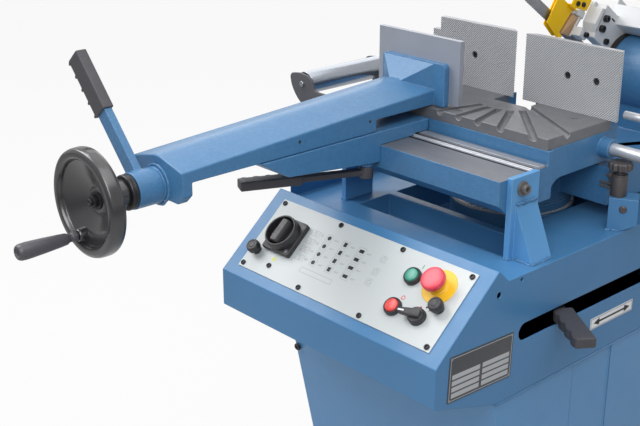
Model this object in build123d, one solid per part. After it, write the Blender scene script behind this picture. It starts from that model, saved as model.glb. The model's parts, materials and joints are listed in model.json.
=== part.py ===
from build123d import *
import os
from math import atan2, cos, degrees, pi, radians, sin, sqrt

# A mitre band saw. X runs along the jaws (bar feed), Y from the vise handwheel to the
# back, Z up. The origin is on the floor below the mitre pivot: the pivot axis is X = Y = 0,
# the blade plane is X = 0 and the faces of the fixed jaws are Y = 0.

# Clearances
slide_gap = 0.10          # flat sliding faces
turn_gap = 0.05           # radial, shaft in bore
round_gap = 0.30          # other curved faces that face each other
swing_gap = 2.0           # parts that swing past each other

# Stand and housing
stand_width = 500.0
sheet = 3.0
stand_wall = 4.0
stand_inset = 4.0
stand_height = 545.0
foot_thickness = 10.0
foot_length = 84.0
foot_width = 70.0
foot_edge = 25.0
anchor_x = 272.0
anchor_y = 185.0
anchor_radius = 7.0
nose_front = -474.0
nose_rise = 45.0
nose_height = 67.0
nose_depth = 142.0
slope_rise = 117.0
slope_run = 135.0
ridge_run = 23.0
tray_drop = 22.0
tray_lip = 22.0
housing_back = 330.0
stand_lean = 117.0
groove_front = -124.0
groove_back = -14.0
groove_depth = 2.5
groove_foot = 60.0
drain_margin = 60.0
housing_bottom = stand_height
nose_bottom = housing_bottom + nose_rise
nose_top = nose_bottom + nose_height
nose_back_bottom = nose_front + nose_depth
ridge_y = nose_front + slope_run
ridge_top = nose_top + slope_rise
tray_front = ridge_y + ridge_run
tray_floor = ridge_top - tray_drop
lip_top = tray_floor + tray_lip

# Coolant tank and pump inside the stand
tank_half_width = 170.0
tank_front = -100.0
tank_back = 220.0
tank_height = 177.0
pump_x = 100.0
pump_y = 150.0
pump_radius = 45.0
pump_height = 150.0
pump_flange = 12.0
pump_flange_thickness = 8.0
pump_tube_radius = 28.0
pump_tube_gap = 20.0
pump_shelf = 60.0

# Trough and well in the tray
trough_left = -140.0
trough_right = 184.0
trough_front = -250.0
trough_back = -174.0
trough_depth = 40.0
well_left = -140.0
well_right = 122.0
well_front = -154.0
well_back = 130.0
well_depth = 59.0
trough_floor = tray_floor - trough_depth
well_floor = tray_floor - well_depth

# Lever slot and two tapped holes in the right side of the housing
slot_front = -283.0
slot_back = 70.0
slot_drop = 100.5
slot_height = 29.0
slot_z = tray_floor - slot_drop
side_holes = ((ridge_y + 2, ridge_top - 40, 4.5), (ridge_y + 55, ridge_top - 30, 2.5))
lock_lever_y = -172.0
lock_grip_start = 300.0
lock_reach = 412.0
lock_grip_width = 34.0
lock_grip_height = 19.0
lock_arm_width = 18.0
lock_arm_thickness = 8.0
lock_hub_radius = 26.0
lock_hub_height = 24.0
lock_bolt_radius = 10.0
lock_bolt_short = 6.0

# Control panel on the sloping face
panel_left = 28.5
panel_right = 473.0
panel_low = 19.0
panel_high = 161.0
panel_thickness = 2.0
screw_side_inset = 8.25
screw_edge_inset = 7.25
screw_column_count = 4
extra_screw = (93.0, 39.5)
screw_head_radius = 4.5
screw_head = 3.0
screw_socket_radius = 2.0
screw_radius = 2.5
screw_length = 10.0
stem_radius = 11.0
stem_length = 30.0
small_stem_radius = 3.0
small_stem_length = 10.0
main_switch_at = (91.0, 97.0)
main_switch_side = 66.0
main_switch_corner = 4.0
main_switch_plate_height = 10.0
main_switch_ring_radius = 30.0
main_switch_ring_wall = 4.0
main_switch_ring_height = 16.0
dial_disc = 5.0
dial_bar_width = 18.0
button_radius = 11.6
bezel_radius = 14.6
bezel_height = 9.0
button_proud = 1.5
button_cap = 2.0
button_travel = 4.0
push_bore = 8.0
start_at = (370.0, 118.0)
stop_at = (370.0, 61.0)
estop_at = (423.0, 119.5)
estop_disc_radius = 30.0
estop_disc = 1.5
estop_collar_radius = 15.0
estop_collar_height = 12.0
estop_radius = 20.0
estop_height = 13.0
estop_round = 3.0
estop_travel = 4.0
selector_at = (420.0, 62.0)
selector_radius = 14.0
selector_height = 8.0
selector_bar_width = 12.0
selector_bar_height = 14.0
selector_reach = 29.0
selector_tail = 12.0
selector_bezel = 4.0
selector_rest = 191.0
speed_at = (446.0, 87.0)
left_knob_at = (48.0, 56.0)
knob_radius = 12.2
knob_height = 13.0
knob_neck = 5.0
bush_radius = 8.0
bush_rim = 2.0

# Table, guide bed and posts
table_rise = 173.0
table_thickness = 19.0
table_half_width = 186.0
table_front = -157.0
kerf_angles = (-15.0, 0.0, 15.0, 30.0, 45.0, 60.0)
kerf_starts = (76.0, 76.0, 76.0, 76.0, 74.0, 34.0)
kerf_width = 13.0
kerf_depth = 9.0
kerf_reach = 260.0
pivot_gap = 20.0
casting_gap = 58.0
notch_left = -29.0
notch_right = 44.0
notch_front = -32.0
bed_left = -167.0
bed_right = 190.0
bed_front = -276.0
bed_drop = 42.0
bed_face = 40.0
bed_depth = 58.0
bed_chamfer = 21.0
bed_wall = 12.0
oil_slot_front = -207.0
oil_slot_width = 4.0
oil_slot_depth = 5.0
oil_slot_short = 30.0
rail_front = -196.0
rail_back = -162.0
rail_rise = 3.0
rail_lip = 3.0
rail_groove_width = 12.0
rail_groove_depth = 3.0
skirt_rise = 29.0
skirt_wall = 12.0
arch_radius = 30.0
post_front = -258.0
post_back = -190.0
post_thickness = 10.0
post_rise = 3.0
left_post_drop = 3.0
gusset_drop = 41.0
gusset_width = 38.0
gusset_front = -247.0
gusset_back = -196.0
upstand_thickness = 20.0
upstand_rise = 87.0
upstand_inner = 62.0
post_bolt_radius = 5.0
post_bolt_y = -233.0
post_bolt_drop = 17.0
post_bolt_length = 25.0
post_washer_radius = 12.0
post_washer = 3.0
post_head_radius = 8.0
post_head = 11.0
post_socket_radius = 4.0
post_socket = 6.0
table_top = tray_floor + table_rise
table_low = table_top - table_thickness
bed_top = table_top - bed_drop
bed_face_bottom = bed_top - bed_face
bed_bottom = bed_top - bed_depth
skirt_bottom = bed_bottom + skirt_rise
post_top = bed_top + post_rise
post_bolt_z = bed_top - post_bolt_drop
gusset_top = bed_top - gusset_drop
upstand_top = table_top + upstand_rise

# Jaws
jaw_height = 112.0
jaw_lift = 6.0
jaw_thickness = 14.0
jaw_outer = 205.0
jaw_step = 18.0
jaw_step_drop = 24.0
jaw_screw_radius = 3.0
jaw_head_radius = 4.8
jaw_screw_length = 15.0
jaw_sink = 5.0
jaw_head = 3.0
jaw_screws_right = (101.0, 159.0)
jaw_screws_left = (-103.0, -160.0)
jaw_screw_rise = 55.0
jaw_low = table_top + jaw_lift
jaw_top = jaw_low + jaw_height
jaw_screw_z = jaw_low + jaw_screw_rise

# Turntable and swivel console
turn_radius = 111.0
scale_inner = 72.0
scale_drop = 6.0
scale_thickness = 3.0
hub_radius = 70.0
flange_radius = 105.0
flange_height = 16.0
flange_wall = 4.0
hub_gap = 60.0
window_start = 190.0
window_end = 300.0
console_left = -60.0
console_right = 200.0
console_gap = 4.0
upright_front = 212.0
upright_back = 262.0
upright_inset = 14.0
hinge_y = 257.0
hinge_rise = 17.0
barrel_radius = 68.0
barrel_left = 48.0
barrel_right = 210.0
hinge_pin_radius = 22.0
scale_top = tray_floor - scale_drop
flange_top = scale_top + flange_height
hub_top = table_low - hub_gap
hinge_z = table_top + hinge_rise

# Bow, drawn with the blade level and then raised about the hinge
bow_raise = 34.5
blade_rise = 12.5
blade_width = 20.0
blade_thickness = 0.9
blade_length = 2360.0
wheel_radius = 125.0
wheel_width = 24.0
wheel_rim = 16.0
wheel_recess = 7.0
wheel_boss_radius = 34.0
wheel_back_y = 447.0
bow_tilt = 40.0
frame_gap = 8.0
frame_plate = 14.0
frame_radius = 140.0
beam_low = 186.0
beam_high = 272.0
rib_inset = 20.0
rib_ends = 80.0
rib_depth = 30.0
cover_depth = 45.0
cover_sheet = 2.0
cover_mouth = 40.0
cover_mouth_gap = 6.0
knuckle_thickness = 22.0
knuckle_radius = 58.0
spacer_radius = 66.0
spacer_thickness = 6.0
pin_proud = 4.0
hinge_block_front = 328.0
hinge_block_back = 352.0
hinge_block_drop = 42.0
hinge_block_rise = 13.0
hinge_rib_low = 12.0
hinge_rib_high = 190.0
guide_root_front = 128.0
guide_root_low = 4.0
guide_root_high = 70.0
bridge_front = 175.0
bridge_back = 267.0
bridge_low = 54.0
bridge_high = 94.0
bridge_rib_count = 4
bridge_rib = 8.0
bridge_rib_height = 12.0
shaft_radius = 15.0
shaft_hole_gap = 8.0
shaft_proud = 4.0
idler_shaft_radius = 12.0
gearbox_size = 120.0
gearbox_depth = 104.0
gearbox_wall = 8.0
motor_radius = 56.0
motor_length = 210.0
motor_lift = 4.0
motor_flange = 10.0
motor_skin = 6.0
fin_count = 18
fin_thickness = 3.0
fin_height = 13.0
fin_start = 20.0
fan_cover = 35.0
terminal_box = (60.0, 44.0, 70.0)
terminal_start = 60.0
slide_half = 26.0
slide_length = 60.0
slide_lap = 10.0
slide_boss_radius = 20.0
slot_room_front = 45.0
slot_room_back = 70.0
tension_radius = 6.0
tension_reach = 60.0
tension_wheel_radius = 45.0
tension_wheel_width = 18.0
tension_hub_radius = 16.0
tension_hub_length = 30.0
tension_bite = 12.0
nut_plate_half = 30.0
nut_plate_front = 12.0
nut_plate_back = 30.0
nut_plate_proud = 2.0
bow_handle_inset = 40.0
bow_handle_post_radius = 9.0
bow_handle_post = 60.0
bow_grip_radius = 15.0
bow_grip_front = 110.0
bow_grip_length = 125.0
blade_z = table_top + blade_rise
hinge_block_low = hinge_z - hinge_block_drop
hinge_block_high = hinge_z + hinge_block_rise

# Blade guides and guards on the bow
guard_front = 40.0
guard_back = 93.0
guard_drop = 17.5
guard_rise = 40.5
guard_half = 13.0
guard_sheet = 2.0
guard_flange_lap = 30.0
guard_flange_back = 128.0
guard_flange_rise = 74.5
guide_gap = 2.0
guide_back = 119.0
guide_drop = 6.5
guide_rise = 36.5
guide_half = 12.0
guide_slot = 1.5
guide_ear = 20.0
holder_left = 12.5
holder_step = 127.5
holder_back = 190.0
holder_rise = 70.0
holder_lift = 6.0
front_guide_y = -172.0
front_guide_length = 24.0
front_guard_length = 24.0
guide_arm_thickness = 12.0
guide_arm_margin = 24.0
guide_arm_shoe = 20.0
guide_arm_low = 70.0
arm_foot_drop = 12.5
arm_foot_rise = 32.5
arm_foot_right = 120.0
clamp_stem_radius = 8.0
clamp_stem = 12.0
clamp_radius = 20.0
clamp_height = 14.0
clamp_seat = 8.0
guard_low = blade_z - guard_drop
guard_high = blade_z + guard_rise
guard_flange_top = blade_z + guard_flange_rise
guide_low = blade_z - guide_drop
guide_high = blade_z + guide_rise
arm_foot_low = blade_z + arm_foot_drop
arm_foot_high = blade_z + arm_foot_rise

# Vise
arm_left = -191.0
arm_right = -66.0
arm_front = -681.0
bracket_height = 24.0
eave_front_rise = 18.5
eave_back_rise = 47.0
ridge_front_rise = 33.5
ridge_back_rise = 65.5
ridge_flat = 7.0
ridge_round = 1.5
arm_wall = 12.0
arm_step_y = -284.0
arm_step_rise = 20.5
bracket_left = -190.0
bracket_right = -64.0
bracket_back = -160.5
bracket_tip_y = -536.0
bracket_tip_run = 58.0
bracket_drop = 53.0
bracket_front_drop = 34.0
bracket_toe = 14.0
tongue_height = 10.0
tongue_front = -470.0
tongue_back = -300.0
screw_x = -129.0
screw_drop = 13.0
vise_screw_radius = 8.0
vise_screw_back = -300.0
end_plate_thickness = 19.0
end_plate_drop = 33.0
end_plate_chamfer = 14.0
end_boss = 7.0
collar_radius = 28.0
collar_front = -729.0
nut_radius = 27.0
nut_front = -741.0
jaw_open = 124.0
moving_jaw_left = -211.0
moving_jaw_right = -21.0
moving_jaw_thickness = 11.0
moving_screw_drop = 20.0
carrier_left = -190.0
carrier_right = -43.0
carrier_rise = 94.0
carrier_thickness = 12.0
carrier_round = 8.0
hip_length = 42.0
hip_sink = 14.0
lever_angle = 132.0
lever_length = 232.0
lever_bar = (13.0, 25.0)
grip_start = 132.0
grip_size = (19.0, 34.0)
grip_cap = 10.0
grip_nub_radius = 3.5
grip_nub_count = 5
grip_nub_inset = 4.0
wheel_rim_radius = 83.0
wheel_rim_front = -810.0
wheel_rim_back = -776.0
wheel_hub_radius = 18.0
wheel_hub_sink = 10.0
wheel_dish_sink = 16.0
wheel_dish_fall = 4.0
wheel_web = 8.0
wheel_hub_flare = 4.0
wheel_rim_width = 16.0
wheel_bead = 8.0
wheel_bead_lip = 6.0
wheel_lip_fall = 2.0
handle_offset = 58.0
handle_angle = 249.0
handle_radius = 12.0
handle_length = 96.0
handle_pad_radius = 13.0
handle_pivot_radius = 5.0
vise_lock_tip = (-170.0, -495.0)
vise_lock_pivot = (-80.0, -294.0)
vise_lock_drop = 17.0
vise_lock_grip = 105.0
vise_lock_bar = (16.0, 10.0)
vise_lock_grip_size = (26.0, 16.0)
vise_lock_nub_radius = 5.0
vise_lock_nub_count = 5
lock_boss_radius = 12.0
lock_stud_radius = 6.0
lock_stud_length = 15.0
bracket_top = bed_top + bracket_height
bracket_low = bracket_top - bracket_drop
bracket_front_low = bracket_top - bracket_front_drop
bracket_tip_low = bracket_tip_y + bracket_tip_run
eave_front = bracket_top + eave_front_rise
eave_back = bracket_top + eave_back_rise
ridge_front = bracket_top + ridge_front_rise
ridge_back = bracket_top + ridge_back_rise
arm_clear = bracket_top + arm_step_rise
screw_z = bracket_top - screw_drop
end_plate_low = bracket_top - end_plate_drop
carrier_top = bracket_top + carrier_rise
vise_lock_z = bracket_low - vise_lock_drop

# Infeed roller
roller_x = -395.0
roller_radius = 22.0
roller_proud = 1.0
roller_front = -150.0
roller_back = 46.0
roller_plate = 6.0
roller_plate_drop = 4.0
roller_axle_radius = 8.0
roller_axle_proud = 4.0
roller_end_gap = 1.0
roller_bar_drop = 63.0
roller_bar_height = 32.0
roller_bar_low = table_top - roller_bar_drop
roller_bar_high = roller_bar_low + roller_bar_height
roller_z = table_top + roller_proud - roller_radius

# Length stop and index stand on the right
rod_y = -4.0
rod_drop = 44.0
rod_radius = 10.5
rod_end = 470.0
rod_boss_radius = 17.0
rod_boss_proud = 20.0
thin_rod_y = 26.0
thin_rod_rise = 9.0
thin_rod_radius = 7.0
thin_rod_inset = 60.0
stop_x = 400.0
stop_thickness = 24.0
stop_margin = 16.0
stop_finger = 60.0
index_offset = 43.0
index_y = -12.0
index_turn = 30.0
index_plate_rise = 56.0
index_sheet = 4.0
index_half_width = 24.0
index_corner = (24.0, 12.0)
index_shift = (16.0, -6.0)
index_flange = 34.0
index_hole_radius = 5.0
index_hole_rise = 38.0
index_post_radius = 13.0
index_post_height = 38.0
index_bore = 5.0
index_knob_radius = 20.5
index_knob_height = 15.0
index_flutes = 12
index_flute_radius = 4.0
index_neck_radius = 9.0
index_neck = 8.0
plunger_length = 20.0
rod_z = table_top - rod_drop
thin_rod_z = table_top + thin_rod_rise
index_x = table_half_width + index_offset
index_plate_top = tray_floor + index_plate_rise


def block(x0, x1, y0, y1, z0, z1):
    """Box between two corners."""
    return Pos((x0 + x1) / 2, (y0 + y1) / 2, (z0 + z1) / 2) * Box(x1 - x0, y1 - y0, z1 - z0)


def bar_x(radius, x0, x1, y, z):
    """Round bar along X."""
    return Pos((x0 + x1) / 2, y, z) * Rot(0, 90, 0) * Cylinder(radius, x1 - x0)


def bar_y(radius, y0, y1, x, z):
    """Round bar along Y."""
    return Pos(x, (y0 + y1) / 2, z) * Rot(90, 0, 0) * Cylinder(radius, y1 - y0)


def bar_z(radius, z0, z1, x, y):
    """Round bar along Z."""
    return Pos(x, y, (z0 + z1) / 2) * Cylinder(radius, z1 - z0)


def side_profile(points, x0, x1):
    """Outline in (Y, Z) carried along X."""
    return extrude(Plane.YZ.offset(x0) * Polygon(*points, align=None), x1 - x0, dir=(1, 0, 0))


def front_profile(points, y0, y1):
    """Outline in (X, Z) carried along Y."""
    plane = Plane(origin=(0, y0, 0), x_dir=(1, 0, 0), z_dir=(0, -1, 0))
    return extrude(plane * Polygon(*points, align=None), y1 - y0, dir=(0, 1, 0))


def post_up(radius, height):
    """Round bar that stands on its lower face."""
    return Cylinder(radius, height, align=(Align.CENTER, Align.CENTER, Align.MIN))


def slab_up(width, length, height):
    """Block that stands on its lower face."""
    return Box(width, length, height, align=(Align.CENTER, Align.CENTER, Align.MIN))


parts = {}


def keep(name, shape):
    """Record one finished piece under its node name."""
    parts[name] = shape


# Lower stand with its feet, a stiffening groove in the right side and a drain opening on top
half = stand_width / 2
stand_half = half - stand_inset
stand_front_top = nose_back_bottom + sheet
stand_front_low = stand_front_top + stand_lean
stand_outer = side_profile(
    [(stand_front_low, foot_thickness), (stand_front_top, housing_bottom),
     (housing_back, housing_bottom), (housing_back, foot_thickness)], -stand_half, stand_half)
stand_inner = side_profile(
    [(stand_front_low + stand_wall, foot_thickness + sheet),
     (stand_front_top + stand_wall, housing_bottom - sheet),
     (housing_back - stand_wall, housing_bottom - sheet),
     (housing_back - stand_wall, foot_thickness + sheet)],
    -stand_half + stand_wall, stand_half - stand_wall)
lower_stand = stand_outer - stand_inner
lower_stand += block(-half, half, nose_back_bottom, housing_back, housing_bottom - sheet, housing_bottom)
foot_inner = anchor_x + foot_edge - foot_length
for sx in (-1, 1):
    for sy in (-1, 1):
        x_ends = sorted((sx * foot_inner, sx * (foot_inner + foot_length)))
        foot_y = sy * anchor_y
        lower_stand += block(*x_ends, foot_y - foot_width / 2, foot_y + foot_width / 2, 0, foot_thickness)
        lower_stand -= bar_z(anchor_radius, -1, foot_thickness + 1, sx * anchor_x, foot_y)
lower_stand -= block(stand_half - groove_depth, half, groove_front, groove_back,
                     foot_thickness + groove_foot, housing_bottom - sheet)
lower_stand -= block(-stand_half + drain_margin, stand_half - drain_margin, tray_front + 2 * drain_margin,
                     housing_back - drain_margin, housing_bottom - 2 * sheet, housing_bottom + sheet)
keep("lower_stand", lower_stand)

# Coolant tank with a shelf that carries the pump
tank_floor = foot_thickness + sheet
tank_top = tank_floor + tank_height
tank_inside = tank_half_width - sheet
tank = block(-tank_half_width, tank_half_width, tank_front, tank_back, tank_floor, tank_top)
tank -= block(-tank_inside, tank_inside, tank_front + sheet, tank_back - sheet, tank_floor + sheet,
              tank_top + 1)
tank += block(-tank_inside, tank_inside, pump_y - pump_shelf, tank_back - sheet, tank_top - sheet, tank_top)
tank -= bar_z(pump_tube_radius + round_gap, tank_top - 2 * sheet, tank_top + 1, pump_x, pump_y)
keep("coolant_tank", tank)
pump = bar_z(pump_radius, tank_top, tank_top + pump_height, pump_x, pump_y)
pump += bar_z(pump_radius + pump_flange, tank_top, tank_top + pump_flange_thickness, pump_x, pump_y)
pump += bar_z(pump_tube_radius, tank_floor + pump_tube_gap, tank_top, pump_x, pump_y)
keep("coolant_pump", pump)

# Upper housing: nose with the sloping panel face, tray, trough and well
housing_outline = [(nose_front, nose_bottom), (nose_front, nose_top), (ridge_y, ridge_top),
                   (tray_front, tray_floor), (housing_back, tray_floor),
                   (housing_back, housing_bottom), (nose_back_bottom, housing_bottom)]
housing_inside = [(nose_front + sheet, nose_bottom + sheet), (nose_front + sheet, nose_top - sheet / 3),
                  (ridge_y, ridge_top - 1.5 * sheet), (tray_front - sheet / 3, tray_floor - sheet),
                  (housing_back - sheet, tray_floor - sheet),
                  (housing_back - sheet, housing_bottom - 1),
                  (nose_back_bottom + sheet, housing_bottom - 1)]
housing = side_profile(housing_outline, -half, half)
void = side_profile(housing_inside, -half + sheet, half - sheet)
trough = (trough_left, trough_right, trough_front, trough_back, trough_floor, tray_floor + 1)
well = (well_left, well_right, well_front, well_back, well_floor, tray_floor + 1)
for x0, x1, y0, y1, z0, z1 in (trough, well):
    void -= block(x0 - sheet, x1 + sheet, y0 - sheet, y1 + sheet, z0 - sheet, z1)
housing -= void
housing -= block(*trough)
housing -= block(*well)
housing += block(-half, -half + sheet, tray_front, housing_back, tray_floor, lip_top)
housing += block(-half, half, housing_back - sheet, housing_back, tray_floor, lip_top)
slot_place = Plane.YZ.offset(half - 2 * sheet) * Pos((slot_front + slot_back) / 2, slot_z)
housing -= extrude(slot_place * SlotOverall(slot_back - slot_front, slot_height), 3 * sheet)
for hole_y, hole_z, hole_radius in side_holes:
    housing -= bar_x(hole_radius, half - 2 * sheet, half + 1, hole_y, hole_z)
housing -= bar_z(lock_bolt_radius + round_gap, well_floor - 2 * sheet, well_floor + 1, 0, 0)

# Everything on the sloping face is placed by (distance from the left side, distance up the slope)
slope_length = sqrt(slope_rise ** 2 + slope_run ** 2)
slope = Plane(origin=(-half, nose_front, nose_top), x_dir=(1, 0, 0),
              z_dir=(0, -slope_rise / slope_length, slope_run / slope_length))


def on_slope(at, shape, height=0.0):
    """Place a shape drawn about its own Z axis on the sloping face."""
    return slope * Pos(at[0], at[1], height) * shape


panel_holes = []


def through_panel(at, radius):
    """Note a hole for a control through the panel and the sheet behind it."""
    panel_holes.append(on_slope(at, post_up(radius, 2 * stem_length), -1.5 * stem_length))


panel_screws = []
screw_pitch = (panel_right - panel_left - 2 * screw_side_inset) / (screw_column_count - 1)
screw_columns = [panel_left + screw_side_inset + screw_pitch * k for k in range(screw_column_count)]
screw_rows = (panel_low + screw_edge_inset, panel_high - screw_edge_inset)
for at in [(x, y) for x in screw_columns for y in screw_rows] + [extra_screw]:
    through_panel(at, screw_radius + turn_gap)
    screw = post_up(screw_head_radius, screw_head)
    screw -= Pos(0, 0, screw_head / 3) * post_up(screw_socket_radius, screw_head)
    screw += Pos(0, 0, -screw_length) * post_up(screw_radius, screw_length)
    panel_screws.append(on_slope(at, screw, panel_thickness))
keep("panel_screws", Compound(children=panel_screws))


def bezel(bore, height):
    """Switch ring with a hollow stem through the panel."""
    ring = post_up(bezel_radius, height) + Pos(0, 0, -stem_length) * post_up(stem_radius, stem_length)
    return ring - Pos(0, 0, sheet - stem_length) * post_up(bore, stem_length + height)


bezels = []
for at in (start_at, stop_at):
    through_panel(at, stem_radius + turn_gap)
    seat = bezel_height - button_travel - button_proud
    ring = bezel(push_bore, bezel_height)
    ring -= Pos(0, 0, seat) * post_up(button_radius + round_gap, bezel_height)
    bezels.append(on_slope(at, ring, panel_thickness))
through_panel(selector_at, stem_radius + turn_gap)
bezels.append(on_slope(selector_at, bezel(small_stem_radius + turn_gap, selector_bezel), panel_thickness))
bush_stem_radius = small_stem_radius + bush_rim
for at in (speed_at, left_knob_at):
    through_panel(at, bush_stem_radius + turn_gap)
    bush = Pos(0, 0, -small_stem_length - bush_rim) * post_up(bush_stem_radius, small_stem_length + bush_rim)
    bush += post_up(bush_radius, bush_rim)
    bush -= Pos(0, 0, -stem_length) * post_up(small_stem_radius + turn_gap, 2 * stem_length)
    bezels.append(on_slope(at, bush, panel_thickness))
keep("switch_bezels", Compound(children=bezels))


def push_button(at):
    """Round cap with a guide stem that slides in the bezel."""
    cap_low = bezel_height - 1.0
    cap = Pos(0, 0, cap_low) * post_up(button_radius, button_proud + button_cap)
    stem_low = small_stem_length - stem_length
    stem = Pos(0, 0, stem_low) * post_up(push_bore - turn_gap, cap_low - stem_low)
    return on_slope(at, cap + stem, panel_thickness)


keep("start_button", push_button(start_at))
keep("stop_button", push_button(stop_at))

# Emergency stop: yellow disc with a collar, and the mushroom button
through_panel(estop_at, stem_radius + turn_gap)
collar = post_up(estop_disc_radius, estop_disc) + post_up(estop_collar_radius, estop_collar_height)
collar += Pos(0, 0, -stem_length) * post_up(stem_radius, stem_length)
collar -= Pos(0, 0, sheet - stem_length) * post_up(push_bore, 2 * stem_length)
keep("estop_collar", on_slope(estop_at, collar, panel_thickness))
mushroom_low = estop_collar_height + estop_travel + 1
mushroom = Pos(0, 0, mushroom_low) * post_up(estop_radius, estop_height)
mushroom = fillet(mushroom.edges().group_by(Axis.Z)[-1], estop_round)
mushroom_stem = small_stem_length - stem_length
mushroom += Pos(0, 0, mushroom_stem) * post_up(push_bore - turn_gap, mushroom_low - mushroom_stem)
keep("estop_button", on_slope(estop_at, mushroom, panel_thickness))

# Selector and the two round knobs
selector_base = selector_bezel + slide_gap
selector = Pos(0, 0, selector_base) * post_up(selector_radius, selector_height)
selector += block(-selector_tail, selector_reach, -selector_bar_width / 2, selector_bar_width / 2,
                  selector_base, selector_base + selector_bar_height)
selector += Pos(0, 0, -small_stem_length) * post_up(small_stem_radius, small_stem_length + selector_base)
keep("selector_knob", on_slope(selector_at, Rot(0, 0, selector_rest) * selector, panel_thickness))


def round_knob(at):
    """Turning knob on a neck with a stem."""
    base = bush_rim + slide_gap
    body = Pos(0, 0, base) * post_up(bush_radius, knob_neck)
    body += Pos(0, 0, base + knob_neck) * post_up(knob_radius, knob_height)
    body += Pos(0, 0, -small_stem_length) * post_up(small_stem_radius, small_stem_length + base)
    return on_slope(at, body, panel_thickness)


keep("speed_knob", round_knob(speed_at))
keep("left_knob", round_knob(left_knob_at))

# Main switch: square base with a raised ring and the turning dial inside it
through_panel(main_switch_at, stem_radius + turn_gap)
ring_low = main_switch_plate_height
dial_radius = main_switch_ring_radius - main_switch_ring_wall
switch_base = slab_up(main_switch_side, main_switch_side, main_switch_plate_height)
switch_base = fillet(switch_base.edges().filter_by(Axis.Z), main_switch_corner)
switch_base += Pos(0, 0, -stem_length) * post_up(stem_radius, stem_length)
switch_base += Pos(0, 0, ring_low) * (post_up(main_switch_ring_radius, main_switch_ring_height)
                                      - post_up(dial_radius + round_gap, main_switch_ring_height))
switch_base -= Pos(0, 0, sheet - stem_length) * post_up(small_stem_radius + turn_gap, 2 * stem_length)
keep("main_switch_base", on_slope(main_switch_at, switch_base, panel_thickness))
dial_low = ring_low + slide_gap
dial_bar = 2 * (dial_radius - sheet)
dial = Pos(0, 0, dial_low) * post_up(dial_radius, dial_disc)
dial += Pos(0, 0, dial_low) * slab_up(dial_bar_width, dial_bar, main_switch_ring_height + bush_rim)
dial += Pos(0, 0, -small_stem_length) * post_up(small_stem_radius, small_stem_length + dial_low)
keep("main_switch_dial", on_slope(main_switch_at, dial, panel_thickness))

panel_middle = ((panel_left + panel_right) / 2, (panel_low + panel_high) / 2)
panel = on_slope(panel_middle, slab_up(panel_right - panel_left, panel_high - panel_low, panel_thickness))
for hole in panel_holes:
    panel -= hole
    housing -= hole
keep("control_panel", panel)
keep("upper_housing", housing)

# Table posts, the right one with a gusset
right_face = bed_right + post_thickness
left_face = bed_left - post_thickness
right_post = block(bed_right, right_face, post_front, post_back, tray_floor, post_top)
right_post += front_profile([(right_face, tray_floor), (right_face + gusset_width, tray_floor),
                             (right_face, gusset_top)], gusset_front, gusset_back)
left_post = block(left_face, bed_left, post_front, post_back, tray_floor, bed_top - left_post_drop)
bolt_hole = bar_x(post_bolt_radius + turn_gap, left_face - 1, right_face + 1, post_bolt_y, post_bolt_z)
keep("table_posts", Compound(children=[right_post - bolt_hole, left_post - bolt_hole]))

# Table casting: guide bed with a slot and rails, front wall, side skirts and upstands behind the jaws
table_back = jaw_thickness
casting_back = table_back + upstand_thickness
wall_back = table_front + bed_wall
casting = side_profile(
    [(bed_front, bed_top), (bed_front, bed_face_bottom), (bed_front + bed_chamfer, bed_bottom),
     (wall_back, bed_bottom), (wall_back, table_low), (table_front, table_low), (table_front, bed_top)],
    bed_left, bed_right)
casting -= block(bed_left - 1, bed_right - oil_slot_short, oil_slot_front, oil_slot_front + oil_slot_width,
                 bed_top - oil_slot_depth, bed_top + 1)
rail_top = bed_top + rail_rise
casting += block(bed_left, bed_right, rail_front, rail_back, bed_top - 1, rail_top)
groove_start = rail_front + rail_lip
casting -= block(bed_left - 1, bed_right + 1, groove_start, groove_start + rail_groove_width,
                 rail_top - rail_groove_depth, rail_top + 1)
casting += side_profile([(table_front, bed_bottom), (wall_back, bed_bottom), (wall_back, table_low),
                         (table_front, table_low)], -table_half_width, table_half_width)
arch_middle = wall_back + arch_radius
skirt = side_profile([(wall_back - 1, bed_bottom), (casting_back, bed_bottom), (casting_back, table_low),
                      (wall_back - 1, table_low)], 0, skirt_wall)
skirt -= block(-1, skirt_wall + 1, arch_middle, casting_back + 1, bed_bottom - 1, skirt_bottom)
skirt -= bar_x(arch_radius, -1, skirt_wall + 1, arch_middle, bed_bottom - 1)
for side in (-1, 1):
    skirt_x = table_half_width - skirt_wall if side > 0 else -table_half_width
    casting += Pos(skirt_x, 0, 0) * skirt
    casting += block(*sorted((side * casting_gap / 2, side * table_half_width)), table_back, casting_back,
                     skirt_bottom, table_top)
    casting += block(*sorted((side * upstand_inner, side * table_half_width)), table_back,
                     casting_back, table_low, upstand_top)

# Bolts that hold the bed between the posts
post_screws = []
for side, face in ((1, right_face), (-1, left_face)):
    inner = face - side * (post_thickness + post_bolt_length)
    washer_end = face + side * post_washer
    head_end = washer_end + side * post_head
    drill_ends = sorted((inner - side * round_gap, face))
    casting -= bar_x(post_bolt_radius + turn_gap, *drill_ends, post_bolt_y, post_bolt_z)
    bolt = bar_x(post_bolt_radius, *sorted((inner, face)), post_bolt_y, post_bolt_z)
    bolt += bar_x(post_washer_radius, *sorted((face, washer_end)), post_bolt_y, post_bolt_z)
    bolt += bar_x(post_head_radius, *sorted((washer_end, head_end)), post_bolt_y, post_bolt_z)
    socket_ends = sorted((head_end - side * post_socket, head_end + side))
    bolt -= bar_x(post_socket_radius, *socket_ends, post_bolt_y, post_bolt_z)
    post_screws.append(bolt)

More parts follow.
